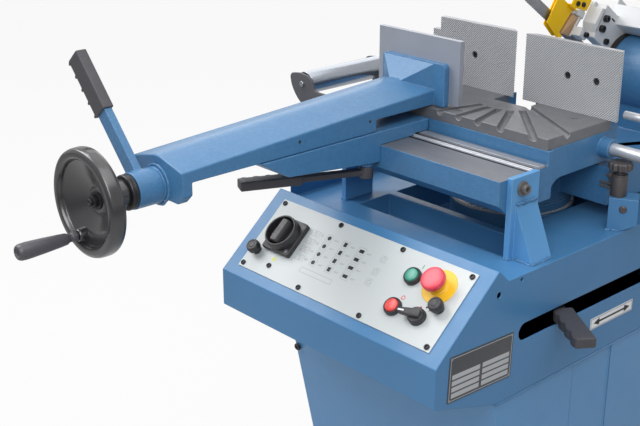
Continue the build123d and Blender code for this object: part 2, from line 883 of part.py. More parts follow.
# Table plate with a round-bottomed blade channel at each fixed mitre angle
table = block(-table_half_width, table_half_width, table_front, table_back, table_low, table_top)
kerf_radius = kerf_width / 2
kerf_axis = table_top - kerf_depth + kerf_radius
for angle, start in zip(kerf_angles, kerf_starts):
    kerf = bar_y(kerf_radius, -kerf_reach, -start, 0, kerf_axis)
    kerf += block(-kerf_radius, kerf_radius, -kerf_reach, -start, kerf_axis, table_top + 1)
    table -= Rot(0, 0, angle) * kerf
table -= block(notch_left, notch_right, notch_front, table_back + 1, table_low - 1, table_top + 1)
keep("table_plate", table)

# Fixed jaws, screwed to the upstands just above the table
jaws = []
jaw_screws = []
for side, screw_xs in ((-1, jaw_screws_left), (1, jaw_screws_right)):
    jaw = block(*sorted((side * pivot_gap / 2, side * jaw_outer)), 0, jaw_thickness, jaw_low, jaw_top)
    if side < 0:
        jaw -= block(-jaw_outer - 1, jaw_step - jaw_outer, -1, jaw_thickness + 1, jaw_top - jaw_step_drop,
                     jaw_top + 1)
    for x in screw_xs:
        screw_end = jaw_thickness + jaw_screw_length
        drill = bar_y(jaw_screw_radius + turn_gap, -1, screw_end + round_gap, x, jaw_screw_z)
        jaw -= drill + bar_y(jaw_head_radius + round_gap, -1, jaw_sink, x, jaw_screw_z)
        casting -= drill
        screw = bar_y(jaw_screw_radius, jaw_sink, screw_end, x, jaw_screw_z)
        screw += bar_y(jaw_head_radius, jaw_sink - jaw_head, jaw_sink, x, jaw_screw_z)
        jaw_screws.append(screw)
    jaws.append(jaw)
keep("fixed_jaws", Compound(children=jaws))
keep("table_fasteners", Compound(children=post_screws + jaw_screws))

# Length stop: two rods out of the right side of the casting and a block that slides on them
rod_start = table_half_width - skirt_wall
boss_end = table_half_width + rod_boss_proud
thin_rod_start = table_half_width - thin_rod_inset
casting += bar_x(rod_boss_radius, rod_start, boss_end, rod_y, rod_z)
casting -= bar_x(rod_radius + turn_gap, rod_start - 1, boss_end + 1, rod_y, rod_z)
casting -= bar_x(thin_rod_radius + turn_gap, thin_rod_start, table_half_width + 1, thin_rod_y, thin_rod_z)
keep("table_casting", casting)
rod = bar_x(rod_radius, rod_start, rod_end, rod_y, rod_z)
thin_rod = bar_x(thin_rod_radius, thin_rod_start, rod_end, thin_rod_y, thin_rod_z)
keep("stop_rods", Compound(children=[rod, thin_rod]))
stop_ends = (stop_x - stop_thickness / 2, stop_x + stop_thickness / 2)
stop_low = rod_z - rod_radius - stop_margin / 2
stop_high = thin_rod_z + stop_margin
stop_front = rod_y - rod_radius - stop_margin / 2
stop_block = block(*stop_ends, stop_front, thin_rod_y + stop_margin, stop_low, stop_high)
stop_block += block(*stop_ends, rod_y - stop_finger, rod_y, thin_rod_z - stop_margin / 2, stop_high)
stop_block -= bar_x(rod_radius + turn_gap, stop_ends[0] - 1, stop_ends[1] + 1, rod_y, rod_z)
stop_block -= bar_x(thin_rod_radius + turn_gap, stop_ends[0] - 1, stop_ends[1] + 1, thin_rod_y, thin_rod_z)
keep("length_stop", stop_block)

# Index stand: folded bracket with a post, and a fluted knob with a plunger
corner_run, corner_rise = index_corner
bracket_face = [(-index_half_width, 0), (index_half_width - corner_run, 0), (index_half_width, corner_rise),
                (index_half_width, index_plate_rise), (-index_half_width, index_plate_rise)]
stand_bracket = front_profile(bracket_face, -index_sheet, 0)
flange_ends = ((0, index_half_width - corner_run), (index_plate_rise - index_sheet, index_half_width))
for plate_low, plate_end in flange_ends:
    stand_bracket += block(-index_half_width, plate_end, -index_sheet, index_flange, plate_low,
                           plate_low + index_sheet)
stand_bracket -= Pos(0, 0, index_hole_rise) * Rot(90, 0, 0) * Cylinder(index_hole_radius, 4 * index_sheet)
bracket_place = Pos(index_x + index_shift[0], index_y + index_shift[1], tray_floor)
stand_bracket = bracket_place * Rot(0, 0, index_turn) * stand_bracket
post_place = Pos(index_x, index_y, index_plate_top)
stand_bracket += post_place * post_up(index_post_radius, index_post_height)
index_drill = post_up(index_bore + turn_gap, 2 * index_post_height)
stand_bracket -= post_place * Pos(0, 0, -2 * index_sheet) * index_drill
keep("index_stand", stand_bracket)
knob = post_up(index_knob_radius, index_knob_height)
for k in range(index_flutes):
    flute_place = Rot(0, 0, 360 / index_flutes * k) * Pos(index_knob_radius + index_flute_radius / 2, 0, -1)
    knob -= flute_place * post_up(index_flute_radius, 2 * index_knob_height)
knob = Pos(0, 0, index_neck - 2) * knob + post_up(index_neck_radius, index_neck)
plunger_low = -index_post_height - plunger_length + index_neck
knob += Pos(0, 0, plunger_low) * post_up(index_bore, -plunger_low)
keep("index_knob", post_place * Pos(0, 0, index_post_height + slide_gap) * knob)

# Turntable: fixed base and degree ring
base_top = scale_top - scale_thickness
turn_base = bar_z(turn_radius, well_floor, base_top, 0, 0)
turn_base -= bar_z(lock_bolt_radius + round_gap, well_floor - 1, base_top + 1, 0, 0)
keep("turntable_base", turn_base)
ring = bar_z(turn_radius, base_top, scale_top, 0, 0)
keep("degree_ring", ring - bar_z(scale_inner, base_top - 1, scale_top + 1, 0, 0))

# Mitre lock: clamp bolt on the pivot with a hand lever through the side slot
lock_angle = degrees(atan2(lock_lever_y, half))
lock_arm = block(0, lock_grip_start + sheet, -lock_arm_width / 2, lock_arm_width / 2,
                 -lock_arm_thickness / 2, lock_arm_thickness / 2)
lock_arm += block(lock_grip_start, lock_reach, -lock_grip_width / 2, lock_grip_width / 2,
                  -lock_grip_height / 2, lock_grip_height / 2)
lock_nub_pitch = (lock_reach - lock_grip_start) / 4
lock_nub_radius = lock_nub_pitch / 2 - sheet
for k in range(4):
    nub_at = Pos(lock_grip_start + lock_nub_pitch * (k + 0.5), lock_nub_radius * 0.8 - lock_grip_width / 2, 0)
    lock_arm += nub_at * Cylinder(lock_nub_radius, lock_grip_height - sheet)
lock_lever = Pos(0, 0, slot_z) * Rot(0, 0, lock_angle) * lock_arm
lock_lever += bar_z(lock_hub_radius, slot_z - lock_hub_height / 2, slot_z + lock_hub_height / 2, 0, 0)
lock_lever += bar_z(lock_bolt_radius, slot_z, base_top - lock_bolt_short, 0, 0)
keep("mitre_lock_lever", lock_lever)

# Swivel console: hub on the turntable, arm under the table, upright and hinge barrel
console_low = scale_top + slide_gap
console_arm_low = lip_top + console_gap
hub = bar_z(hub_radius, console_low, hub_top, 0, 0)
hub += bar_z(scale_inner - round_gap, base_top + slide_gap, console_low + 1, 0, 0)
skirt_ring = bar_z(flange_radius, console_low, flange_top, 0, 0)
skirt_ring += bar_z(flange_radius - flange_wall, flange_top, hub_top, 0, 0)
reach = 2 * flange_radius
from_start = Rot(0, 0, window_start) * block(-reach, reach, 0, reach, console_low - 1, hub_top + 1)
to_end = Rot(0, 0, window_end) * block(-reach, reach, -reach, 0, console_low - 1, hub_top + 1)
console = hub + (skirt_ring - (from_start & to_end))
console += block(console_left, console_right, 0, upright_back, console_arm_low, hub_top)
console += block(barrel_left + upright_inset, barrel_right - upright_inset, upright_front, upright_back,
                 console_arm_low, hinge_z)
console += bar_x(barrel_radius, barrel_left, barrel_right, hinge_y, hinge_z)
console -= bar_x(hinge_pin_radius + turn_gap, barrel_left - 1, barrel_right + 1, hinge_y, hinge_z)
keep("swivel_console", console)

# Bow. Local frame of the wheel plane: x along the blade, y from the cutting run to the
# return run, z towards the frame plate
tilt = radians(bow_tilt)
bow_plane = Plane(origin=(0, 0, blade_z), x_dir=(0, 1, 0), z_dir=(cos(tilt), 0, -sin(tilt)))
hinge_axis = Axis((0, hinge_y, hinge_z), (1, 0, 0))
loop_radius = wheel_radius + round_gap + blade_thickness / 2
wheel_spacing = (blade_length - 2 * pi * loop_radius) / 2
wheel_front_y = wheel_back_y - wheel_spacing
frame_near = wheel_width / 2 + frame_gap
frame_far = frame_near + frame_plate


def raised(shape):
    """Turn a piece drawn with the blade level up to the shown position."""
    return shape.rotate(hinge_axis, -bow_raise)


def in_bow(shape):
    """Place a shape drawn in the wheel plane."""
    return bow_plane * shape


def disc(radius, y, t0, t1):
    """Disc about a wheel axis, in the wheel plane's own frame."""
    return Pos(y, loop_radius, t0) * post_up(radius, t1 - t0)


frame = disc(frame_radius, wheel_back_y, frame_near, frame_far)
frame += disc(frame_radius, wheel_front_y, frame_near, frame_far)
frame += block(wheel_front_y, wheel_back_y, beam_low, beam_high, frame_near, frame_far)
rib_far = frame_far + rib_depth
frame += block(wheel_front_y + rib_ends, wheel_back_y - rib_ends, beam_low + rib_inset, beam_high - rib_inset,
               frame_far, rib_far)
slide_room = slide_half + slide_gap
frame -= block(wheel_front_y - slot_room_front, wheel_front_y + slot_room_back, loop_radius - slide_room,
               loop_radius + slide_room, frame_near - 1, frame_far + 1)
frame -= disc(shaft_radius + shaft_hole_gap, wheel_back_y, 0, rib_far)
nut_plate_end = wheel_front_y - frame_radius
frame += block(nut_plate_end - nut_plate_front, nut_plate_end + nut_plate_back, loop_radius - nut_plate_half,
               loop_radius + nut_plate_half, frame_near, frame_far + nut_plate_proud)
tension_end = nut_plate_end - tension_reach
tension_place = Pos(tension_end, loop_radius, frame_near + frame_plate / 2) * Rot(0, 90, 0)
frame -= tension_place * Pos(0, 0, 1) * post_up(tension_radius + turn_gap, wheel_spacing / 2)
bow = in_bow(frame)
knuckle_left = barrel_left - spacer_thickness
knuckle_right = barrel_right + spacer_thickness
pin_left = knuckle_left - knuckle_thickness
pin_right = knuckle_right + knuckle_thickness
for k0, k1 in ((pin_left, knuckle_left), (knuckle_right, pin_right)):
    bow += bar_x(knuckle_radius, k0, k1, hinge_y, hinge_z)
    bow += block(k0, k1, hinge_y, hinge_block_back, hinge_block_low, hinge_block_high)
bow += block(pin_left, pin_right, hinge_block_front, hinge_block_back, hinge_block_low, hinge_block_high)
bow += block(pin_left, knuckle_left, guide_root_front, hinge_y, hinge_z + guide_root_low,
             hinge_z + guide_root_high)
bridge_top = hinge_z + bridge_high
bridge = block(pin_left, pin_right, bridge_front, bridge_back, hinge_z + bridge_low, bridge_top)
bridge_rib_pitch = (pin_right - pin_left - bridge_rib) / (bridge_rib_count - 1)
for k in range(bridge_rib_count):
    rib_x = pin_left + bridge_rib_pitch * k
    bridge += block(rib_x, rib_x + bridge_rib, bridge_front, bridge_back, bridge_top,
                    bridge_top + bridge_rib_height)
bow += bridge - bar_x(barrel_radius + swing_gap, knuckle_left, knuckle_right, hinge_y, hinge_z)
bow += in_bow(block(hinge_block_front, hinge_block_back, hinge_rib_low, hinge_rib_high, frame_near, rib_far))
bow -= bar_x(barrel_radius + swing_gap, knuckle_left + slide_gap, knuckle_right - slide_gap, hinge_y, hinge_z)
bow -= bar_x(hinge_pin_radius + turn_gap, pin_left - 1, pin_right + 1, hinge_y, hinge_z)
keep("bow_frame", raised(bow))
hinge_pin = bar_x(hinge_pin_radius, pin_left - pin_proud, pin_right + pin_proud, hinge_y, hinge_z)
keep("hinge_pin", raised(hinge_pin))
spacers = []
for k0, k1 in ((knuckle_left, barrel_left - slide_gap), (barrel_right + slide_gap, knuckle_right)):
    spacer = bar_x(spacer_radius, k0, k1, hinge_y, hinge_z)
    spacers.append(raised(spacer - bar_x(hinge_pin_radius + turn_gap, k0 - 1, k1 + 1, hinge_y, hinge_z)))
keep("hinge_spacers", Compound(children=spacers))


def band_wheel(y, bore):
    """Wheel with a rim, a web recessed on both sides and a hub."""
    wheel = disc(wheel_radius, y, -wheel_width / 2, wheel_width / 2)
    web = wheel_width / 2 - wheel_recess
    hollow = disc(wheel_radius - wheel_rim, y, -wheel_width, wheel_width)
    hollow -= disc(wheel_boss_radius, y, -wheel_width, wheel_width)
    hollow -= disc(wheel_radius, y, -web, web)
    return wheel - hollow - disc(bore, y, -wheel_width, wheel_width)


keep("drive_wheel", raised(in_bow(band_wheel(wheel_back_y, shaft_radius))))
wheel_outer_end = -wheel_width / 2 - shaft_proud
gearbox_far = frame_far + gearbox_depth
shaft_end = gearbox_far - gearbox_wall - round_gap
keep("drive_shaft", raised(in_bow(disc(shaft_radius, wheel_back_y, wheel_outer_end, shaft_end))))
keep("idler_wheel", raised(in_bow(band_wheel(wheel_front_y, idler_shaft_radius + turn_gap))))

# Gearbox behind the drive wheel, with the finned motor on top of it
gear_half = gearbox_size / 2
gearbox = block(wheel_back_y - gear_half, wheel_back_y + gear_half, loop_radius - gear_half,
                loop_radius + gear_half, frame_far, gearbox_far)
gearbox -= disc(shaft_radius + turn_gap, wheel_back_y, frame_far - 1, gearbox_far - gearbox_wall)
keep("gearbox", raised(in_bow(gearbox)))
motor = post_up(motor_radius, motor_flange)
motor += Pos(0, 0, motor_flange) * post_up(motor_radius - motor_skin, motor_length)
fin_length = motor_length - fin_start - fan_cover + motor_flange
for k in range(fin_count):
    fin = Pos(motor_radius - motor_skin, 0, fin_start) * slab_up(fin_height, fin_thickness, fin_length)
    motor += Rot(0, 0, 360 / fin_count * k) * fin
motor += Pos(0, 0, motor_flange + motor_length - fan_cover) * post_up(motor_radius, fan_cover)
box_wide, box_deep, box_long = terminal_box
motor += Pos(0, sheet - motor_radius, terminal_start) * slab_up(box_wide, box_deep, box_long)
motor_out = frame_far + motor_radius + motor_lift
motor_axis = Pos(wheel_back_y, loop_radius + gear_half, motor_out) * Rot(-90, 0, 0)
keep("motor", raised(in_bow(motor_axis * motor)))

# Tension slide with the idler shaft, and the tension handwheel on its screw
slide_front = wheel_front_y - slide_length / 2
slide_back = wheel_front_y + slide_length / 2
slide = block(slide_front, slide_back, loop_radius - slide_half, loop_radius + slide_half, frame_near,
              frame_far + slide_gap)
slide += disc(idler_shaft_radius, wheel_front_y, wheel_outer_end, frame_near + 1)
slide += disc(slide_boss_radius, wheel_front_y, wheel_width / 2 + 1, frame_near)
slide_wing = slide_half + slide_lap
slide += block(slide_front, slide_back, loop_radius - slide_wing, loop_radius + slide_wing,
               frame_far + slide_gap, frame_far + slide_lap)
screw_bite = wheel_front_y - tension_bite
slide -= tension_place * post_up(tension_radius + turn_gap, screw_bite + round_gap - tension_end)
keep("tension_slide", raised(in_bow(slide)))
tension = tension_place * post_up(tension_radius, screw_bite - tension_end)
tension_rim = post_up(tension_wheel_radius, tension_wheel_width)
tension += tension_place * Pos(0, 0, -tension_wheel_width) * tension_rim
tension += tension_place * Pos(0, 0, -1) * post_up(tension_hub_radius, tension_hub_length)
keep("tension_handwheel", raised(in_bow(tension)))

# Blade: two half turns on the wheels, two straight runs and the twist next to each guide
band = Rectangle(blade_width, blade_thickness)
twist = 90.0 - bow_tilt
twist_steps = 5
twist_lead = 20.0


def band_section(y, turn):
    """Blade cross-section on the cutting run, turned about the blade's own line."""
    across = (sin(radians(-turn)), 0, cos(radians(turn)))
    return Plane(origin=(0, y, blade_z), x_dir=across, z_dir=(0, 1, 0)) * band


arm_y1 = front_guide_y
arm_y0 = arm_y1 - front_guide_length
twist_back = (guide_back + 1.5 * twist_lead, wheel_back_y - twist_lead)
twist_front = (arm_y0 - twist_lead, wheel_front_y + twist_lead)
stations = [(wheel_back_y, twist)]
for k in range(twist_steps + 1):
    share = k / twist_steps
    stations.append((twist_back[1] + (twist_back[0] - twist_back[1]) * share, twist * (1 - share)))
for k in range(twist_steps + 1):
    share = k / twist_steps
    stations.append((twist_front[0] + (twist_front[1] - twist_front[0]) * share, twist * share))
stations.append((wheel_front_y, twist))
blade = loft([band_section(y, turn) for y, turn in stations], ruled=True)
half_band = blade_width / 2
blade_inner = loop_radius - blade_thickness / 2
blade_outer = loop_radius + blade_thickness / 2
blade += in_bow(block(wheel_front_y, wheel_back_y, loop_radius + blade_inner, loop_radius + blade_outer,
                      -half_band, half_band))
for y, sign in ((wheel_back_y, 1), (wheel_front_y, -1)):
    hoop = disc(blade_outer, y, -half_band, half_band) - disc(blade_inner, y, -blade_width, blade_width)
    half_plane = block(*sorted((y, y + sign * 2 * loop_radius)), -loop_radius, 3 * loop_radius,
                       -blade_width, blade_width)
    blade += in_bow(hoop & half_plane)
keep("blade", raised(blade))


def guide_over_blade(y0, y1):
    """Guide block with a slot that the blade runs in."""
    body = block(-guide_half, guide_half, y0, y1, guide_low, guide_high)
    return body - block(-guide_slot / 2, guide_slot / 2, y0 - 1, y1 + 1, guide_low - 1,
                        blade_z + half_band + 1)


def guard_over_blade(y0, y1):
    """Folded sheet guard, open below and at both ends."""
    shell = block(-guard_half, guard_half, y0, y1, guard_low, guard_high)
    return shell - block(guard_sheet - guard_half, guard_half - guard_sheet, y0 - 1, y1 + 1,
                         guard_low - 1, guard_high - guard_sheet)


# Back guide: holder on the bow, guide block over the blade and the yellow guard
guide_front = guard_back + guide_gap
holder_top = hinge_z + holder_rise
holder = block(holder_left, pin_left, guide_front, holder_back, hinge_z + guide_root_low, holder_top)
holder += block(holder_left, knuckle_left, guide_front, holder_step, guide_low + holder_lift, holder_top)
keep("back_guide_holder", raised(holder))
back_guide = guide_over_blade(guide_front, guide_back)
back_guide += block(-guide_half, holder_left, guide_front, guide_back, guide_high - guide_ear, guide_high)
keep("back_guide_block", raised(back_guide))
guard = guard_over_blade(guard_front, guard_back)
guard += block(holder_left - guard_sheet, holder_left, guard_back - guard_flange_lap, guard_flange_back,
               guide_high + guide_gap, guard_flange_top)
keep("back_blade_guard", raised(guard))

# Front guide: arm that slides along the beam, with its block, guard and clamp knob
arm_near = rib_far + slide_gap
arm_far = arm_near + guide_arm_thickness
arm_top = beam_high - guide_arm_margin
guide_arm = in_bow(block(arm_y0 - guide_arm_shoe, arm_y1 + guide_arm_shoe,
                         beam_low + guide_arm_margin, arm_top, arm_near, arm_far))
guide_arm += in_bow(block(arm_y0, arm_y1, guide_arm_low, arm_top, arm_near, arm_far))
guide_arm += block(holder_left, arm_foot_right, arm_y0, arm_y1, arm_foot_low, arm_foot_high)
keep("front_guide_arm", raised(guide_arm))
front_block = guide_over_blade(arm_y0, arm_y1)
front_block += block(guide_half - 1, holder_left, arm_y0, arm_y1, arm_foot_low, arm_foot_high)
keep("front_guide_block", raised(front_block))
front_guard = guard_over_blade(arm_y0 - front_guard_length, arm_y0 - 1)
front_guard += block(guard_half - guard_sheet, guard_half, arm_y0 - 1, arm_y0, arm_foot_low, guide_high)
keep("front_blade_guard", raised(front_guard))
clamp_place = Pos((arm_y0 + arm_y1) / 2, (beam_low + beam_high) / 2, arm_far + slide_gap)
clamp_knob = post_up(clamp_stem_radius, clamp_stem)
clamp_knob += Pos(0, 0, clamp_seat) * post_up(clamp_radius, clamp_height)
keep("guide_clamp_knob", raised(in_bow(clamp_place * clamp_knob)))


def cover_outline(shrink, t0, t1):
    """Outline of both wheels and the beam, drawn in by a margin."""
    body = disc(frame_radius - shrink, wheel_back_y, t0, t1)
    body += disc(frame_radius - shrink, wheel_front_y, t0, t1)
    return body + block(wheel_front_y, wheel_back_y, beam_low + shrink, beam_high - shrink, t0, t1)


# Wheel cover on the open side of the bow, and the bow handle
cover = cover_outline(0, -cover_depth, frame_near)
cover -= cover_outline(cover_sheet, cover_sheet - cover_depth, frame_near + 1)
cover -= block(wheel_front_y, wheel_back_y, -cover_mouth, cover_mouth, -wheel_width / 2 - cover_mouth_gap,
               frame_near + 1)
keep("wheel_cover", raised(in_bow(cover)))
handle_place = Pos(wheel_front_y + bow_handle_inset, beam_high, frame_near + frame_plate / 2)
bow_handle = handle_place * Rot(-90, 0, 0) * post_up(bow_handle_post_radius, bow_handle_post)
bow_handle += handle_place * Pos(-bow_grip_front, bow_handle_post, 0) * Rot(0, 90, 0) * post_up(
    bow_grip_radius, bow_grip_length)
keep("bow_handle", raised(in_bow(bow_handle)))

# Vise bracket: slides along the bed, stepped to clear the rails
bed_clear = bed_top + slide_gap
rail_clear = rail_top + round_gap
front_clear = bed_front - slide_gap
vise_bracket = side_profile(
    [(bracket_back, bracket_top), (bracket_tip_y, bracket_top), (bracket_tip_low, bracket_front_low),
     (front_clear - bracket_toe, bracket_low), (front_clear, bracket_low), (front_clear, bed_clear),
     (rail_front - round_gap, bed_clear), (rail_front - round_gap, rail_clear), (bracket_back, rail_clear)],
    bracket_left, bracket_right)
tongue_left = arm_left + arm_wall + round_gap
tongue_right = arm_right - arm_wall - round_gap
vise_bracket += block(tongue_left, tongue_right, tongue_front, tongue_back, bracket_top,
                      bracket_top + tongue_height)
vise_bracket -= bar_y(vise_screw_radius + turn_gap, bracket_tip_y - 1, bracket_back + 1, screw_x, screw_z)
lock_x, lock_y = vise_lock_pivot
lever_width, lever_thickness = vise_lock_bar
lock_boss_low = vise_lock_z + lever_thickness
lock_stud_top = lock_boss_low + lock_stud_length
vise_bracket += bar_z(lock_boss_radius, lock_boss_low, bracket_low + bracket_toe / 2, lock_x, lock_y)
vise_bracket -= bar_z(lock_stud_radius + turn_gap, lock_boss_low - 1, lock_stud_top + round_gap,
                      lock_x, lock_y)
keep("vise_bracket", vise_bracket)

# Vise lock lever under the bracket
lever_run = (vise_lock_tip[0] - lock_x, vise_lock_tip[1] - lock_y)
lever_reach = sqrt(lever_run[0] ** 2 + lever_run[1] ** 2)
lever_turn = degrees(atan2(lever_run[1], lever_run[0]))
lock_grip_low = lever_reach - vise_lock_grip
lock_wide, lock_thick = vise_lock_grip_size
flat_bar = block(0, lock_grip_low + 1, -lever_width / 2, lever_width / 2, -lever_thickness / 2,
                 lever_thickness / 2)
flat_bar += block(lock_grip_low, lever_reach, -lock_wide / 2, lock_wide / 2, -lock_thick / 2, lock_thick / 2)
lock_pitch = vise_lock_grip / vise_lock_nub_count
for k in range(vise_lock_nub_count):
    nub_at = Pos(lock_grip_low + lock_pitch * (k + 0.5), -lock_wide / 2, 0)
    flat_bar += nub_at * Cylinder(vise_lock_nub_radius, lock_thick - 1)
vise_lock = Pos(lock_x, lock_y, vise_lock_z) * Rot(0, 0, lever_turn) * flat_bar
vise_lock += bar_z(lock_boss_radius, vise_lock_z - lever_thickness, lock_boss_low - slide_gap, lock_x, lock_y)
vise_lock += bar_z(lock_stud_radius, vise_lock_z, lock_stud_top, lock_x, lock_y)
keep("vise_lock_lever", vise_lock)

# Vise arm: hollow casting with a roof-shaped top, an end plate and the jaw carrier
jaw_face = -jaw_open
jaw_back_y = jaw_face - moving_jaw_thickness
carrier_front = jaw_back_y - carrier_thickness
arm_low = bracket_top + slide_gap
ridge_x = (arm_left + arm_right) / 2


def arm_section(y, eave, ridge):
    """Cross-section of the arm: two walls under a low roof."""
    plane = Plane(origin=(0, y, 0), x_dir=(1, 0, 0), z_dir=(0, -1, 0))
    ridge_edge = ridge - ridge_round
    corners = [(arm_left, arm_low), (arm_left, eave), (ridge_x - ridge_flat, ridge_edge),
               (ridge_x + ridge_flat, ridge_edge), (arm_right, eave), (arm_right, arm_low)]
    return plane * Polygon(*corners, align=None)


vise_arm = loft([arm_section(arm_front, eave_front, ridge_front),
                 arm_section(carrier_front, eave_back, ridge_back)], ruled=True)
vise_arm -= block(arm_left - 1, arm_right + 1, arm_step_y, carrier_front + 1, arm_low - 1, arm_clear)
channel_top = bracket_top + tongue_height + slide_gap
end_plate_back = arm_front + end_plate_thickness
vise_arm -= block(arm_left + arm_wall, arm_right - arm_wall, end_plate_back, arm_step_y + 1, arm_low - 1,
                  channel_top)
end_corner = end_plate_low + end_plate_chamfer
end_top = eave_front - 2
vise_arm += front_profile([(arm_left, end_top), (arm_right, end_top), (arm_right, end_corner),
                           (arm_right - end_plate_chamfer, end_plate_low),
                           (arm_left + end_plate_chamfer, end_plate_low), (arm_left, end_corner)],
                          arm_front, end_plate_back)
vise_arm += bar_y(collar_radius, arm_front - end_boss, arm_front, screw_x, screw_z)
vise_arm -= bar_y(vise_screw_radius + turn_gap, arm_front - end_boss - 1, end_plate_back + 1,
                  screw_x, screw_z)
carrier = block(carrier_left, carrier_right, carrier_front, jaw_back_y, arm_clear, carrier_top)
vise_arm += fillet(carrier.edges().filter_by(Axis.Y).group_by(Axis.Z)[-1], carrier_round)
hip_plane = Plane(origin=(0, carrier_front, 0), x_dir=(1, 0, 0), z_dir=(0, -1, 0))
hip_low = eave_back - hip_sink
hip_high = carrier_top - 2
hip_base = hip_plane * Polygon((arm_left + sheet, hip_low), (arm_left + sheet, hip_high),
                               (arm_right - sheet, hip_high), (arm_right - sheet, hip_low), align=None)
hip_tip = Vertex(ridge_x, carrier_front - hip_length, ridge_back - hip_sink)
vise_arm += loft([hip_base.face(), hip_tip], ruled=True)
keep("vise_arm", vise_arm)
moving_jaw = block(moving_jaw_left, moving_jaw_right, jaw_back_y, jaw_face, jaw_low, jaw_top)
moving_screw_z = jaw_screw_z - moving_screw_drop
for x in jaw_screws_left:
    moving_jaw -= bar_y(jaw_head_radius + round_gap, jaw_face - jaw_sink, jaw_face + 1, x, moving_screw_z)
keep("moving_jaw", moving_jaw)

# Quick clamp lever on a hub around the vise screw, and its grip
lever_back = arm_front - end_boss - slide_gap
lever_hub = bar_y(collar_radius, collar_front, lever_back, screw_x, screw_z)
lever_hub -= bar_y(vise_screw_radius + turn_gap, collar_front - 1, lever_back + 1, screw_x, screw_z)
bar_wide, bar_deep = lever_bar
bar_low = collar_radius - sheet
lever_bar_piece = block(bar_low, grip_start, -bar_wide / 2, bar_wide / 2, -bar_deep / 2, bar_deep / 2)
tang_wide = bar_wide / 2 - 1
tang_deep = bar_deep / 2 - 1
tang = block(grip_start, lever_length - grip_cap, -tang_wide, tang_wide, -tang_deep, tang_deep)
lever_place = Pos(screw_x, (collar_front + lever_back) / 2, screw_z) * Rot(0, -lever_angle, 0)
keep("quick_clamp_lever", lever_hub + lever_place * (lever_bar_piece + tang))
grip_wide, grip_deep = grip_size
grip = block(grip_start, lever_length, -grip_wide / 2, grip_wide / 2, -grip_deep / 2, grip_deep / 2) - tang
nub_pitch = (lever_length - grip_start - 2 * grip_nub_inset) / (grip_nub_count - 1)
for k in range(grip_nub_count):
    nub_place = Pos(grip_start + grip_nub_inset + nub_pitch * k, 0, grip_deep / 2) * Rot(90, 0, 0)
    grip += nub_place * Cylinder(grip_nub_radius, grip_wide - 2)
keep("lever_grip", lever_place * grip)

# Vise screw with its thrust ring, handwheel and turning handle
screw_tip = wheel_rim_front + 2
vise_screw = bar_y(vise_screw_radius, screw_tip, vise_screw_back, screw_x, screw_z)
vise_screw += bar_y(nut_radius, nut_front, collar_front - slide_gap, screw_x, screw_z)
keep("vise_screw", vise_screw)
hub_front = wheel_rim_front + wheel_hub_sink
dish_front = wheel_rim_front + wheel_dish_sink
rim_inside = wheel_rim_radius - wheel_rim_width
hub_foot = wheel_hub_radius + wheel_hub_flare
wheel_profile = [(vise_screw_radius, hub_front), (wheel_hub_radius, hub_front),
                 (hub_foot, dish_front + wheel_dish_fall), (rim_inside, dish_front),
                 (rim_inside + wheel_lip_fall, wheel_rim_front + wheel_lip_fall),
                 (wheel_rim_radius - wheel_bead_lip, wheel_rim_front),
                 (wheel_rim_radius, wheel_rim_front + wheel_bead),
                 (wheel_rim_radius, wheel_rim_back - wheel_bead_lip),
                 (wheel_rim_radius - wheel_bead_lip, wheel_rim_back),
                 (rim_inside + wheel_lip_fall, wheel_rim_back - wheel_lip_fall),
                 (rim_inside - wheel_lip_fall, dish_front + wheel_web),
                 (hub_foot, dish_front + wheel_dish_fall + wheel_web),
                 (hub_foot, nut_front), (vise_screw_radius, nut_front)]
handwheel = Pos(screw_x, 0, screw_z) * revolve(Plane.XY * Polygon(*wheel_profile, align=None), Axis.Y)
handle_x = screw_x + handle_offset * cos(radians(handle_angle))
handle_z = screw_z + handle_offset * sin(radians(handle_angle))
web_y = dish_front + wheel_dish_fall + wheel_lip_fall
handle_seat = wheel_rim_front - 1
handwheel += bar_y(handle_pad_radius, handle_seat, web_y + 2, handle_x, handle_z)
handwheel -= bar_y(handle_pivot_radius + turn_gap, handle_seat - 1, web_y + 20, handle_x, handle_z)
keep("handwheel", handwheel)
handle_back = handle_seat - slide_gap
handle = bar_y(handle_radius, handle_back - handle_length, handle_back, handle_x, handle_z)
handle += bar_y(handle_pivot_radius, handle_back - 1, web_y, handle_x, handle_z)
keep("handwheel_handle", handle)

# Infeed roller on two side bars bolted to the left skirt
roller = bar_y(roller_radius, roller_front, roller_back, roller_x, roller_z)
roller -= bar_y(roller_axle_radius + turn_gap, roller_front - 1, roller_back + 1, roller_x, roller_z)
keep("infeed_roller", roller)
frame_front = roller_front - roller_end_gap
frame_back = roller_back + roller_end_gap
frame_left = roller_x - roller_radius
roller_frame = block(-table_half_width - roller_plate, -table_half_width, frame_front, frame_back,
                     roller_bar_low, roller_bar_high)
for y0 in (frame_front - roller_plate, frame_back):
    y1 = y0 + roller_plate
    roller_frame += block(frame_left, -table_half_width, y0, y1, roller_bar_low, roller_bar_high)
    roller_frame += block(frame_left, roller_x + roller_radius, y0, y1, roller_bar_low,
                          table_top - roller_plate_drop)
axle_proud = roller_plate + roller_axle_proud
roller_frame += bar_y(roller_axle_radius, frame_front - axle_proud, frame_back + axle_proud,
                      roller_x, roller_z)
keep("roller_frame", roller_frame)

os.makedirs("parts", exist_ok=True)
for name, shape in parts.items():
    export_step(shape, f"parts/{name}.step")
print(len(parts), "nodes, blade wheels", round(wheel_spacing, 1), "mm apart")
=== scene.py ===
# %% [markdown]
# # Mitre band saw: the looks
#
# The shapes that carry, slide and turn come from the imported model. This script dresses them: it rounds
# the folds and cast edges, builds the small parts in full, and gives each surface its finish.
# Work is in millimetres inside the script; `MM` turns it into metres where a mesh is made.

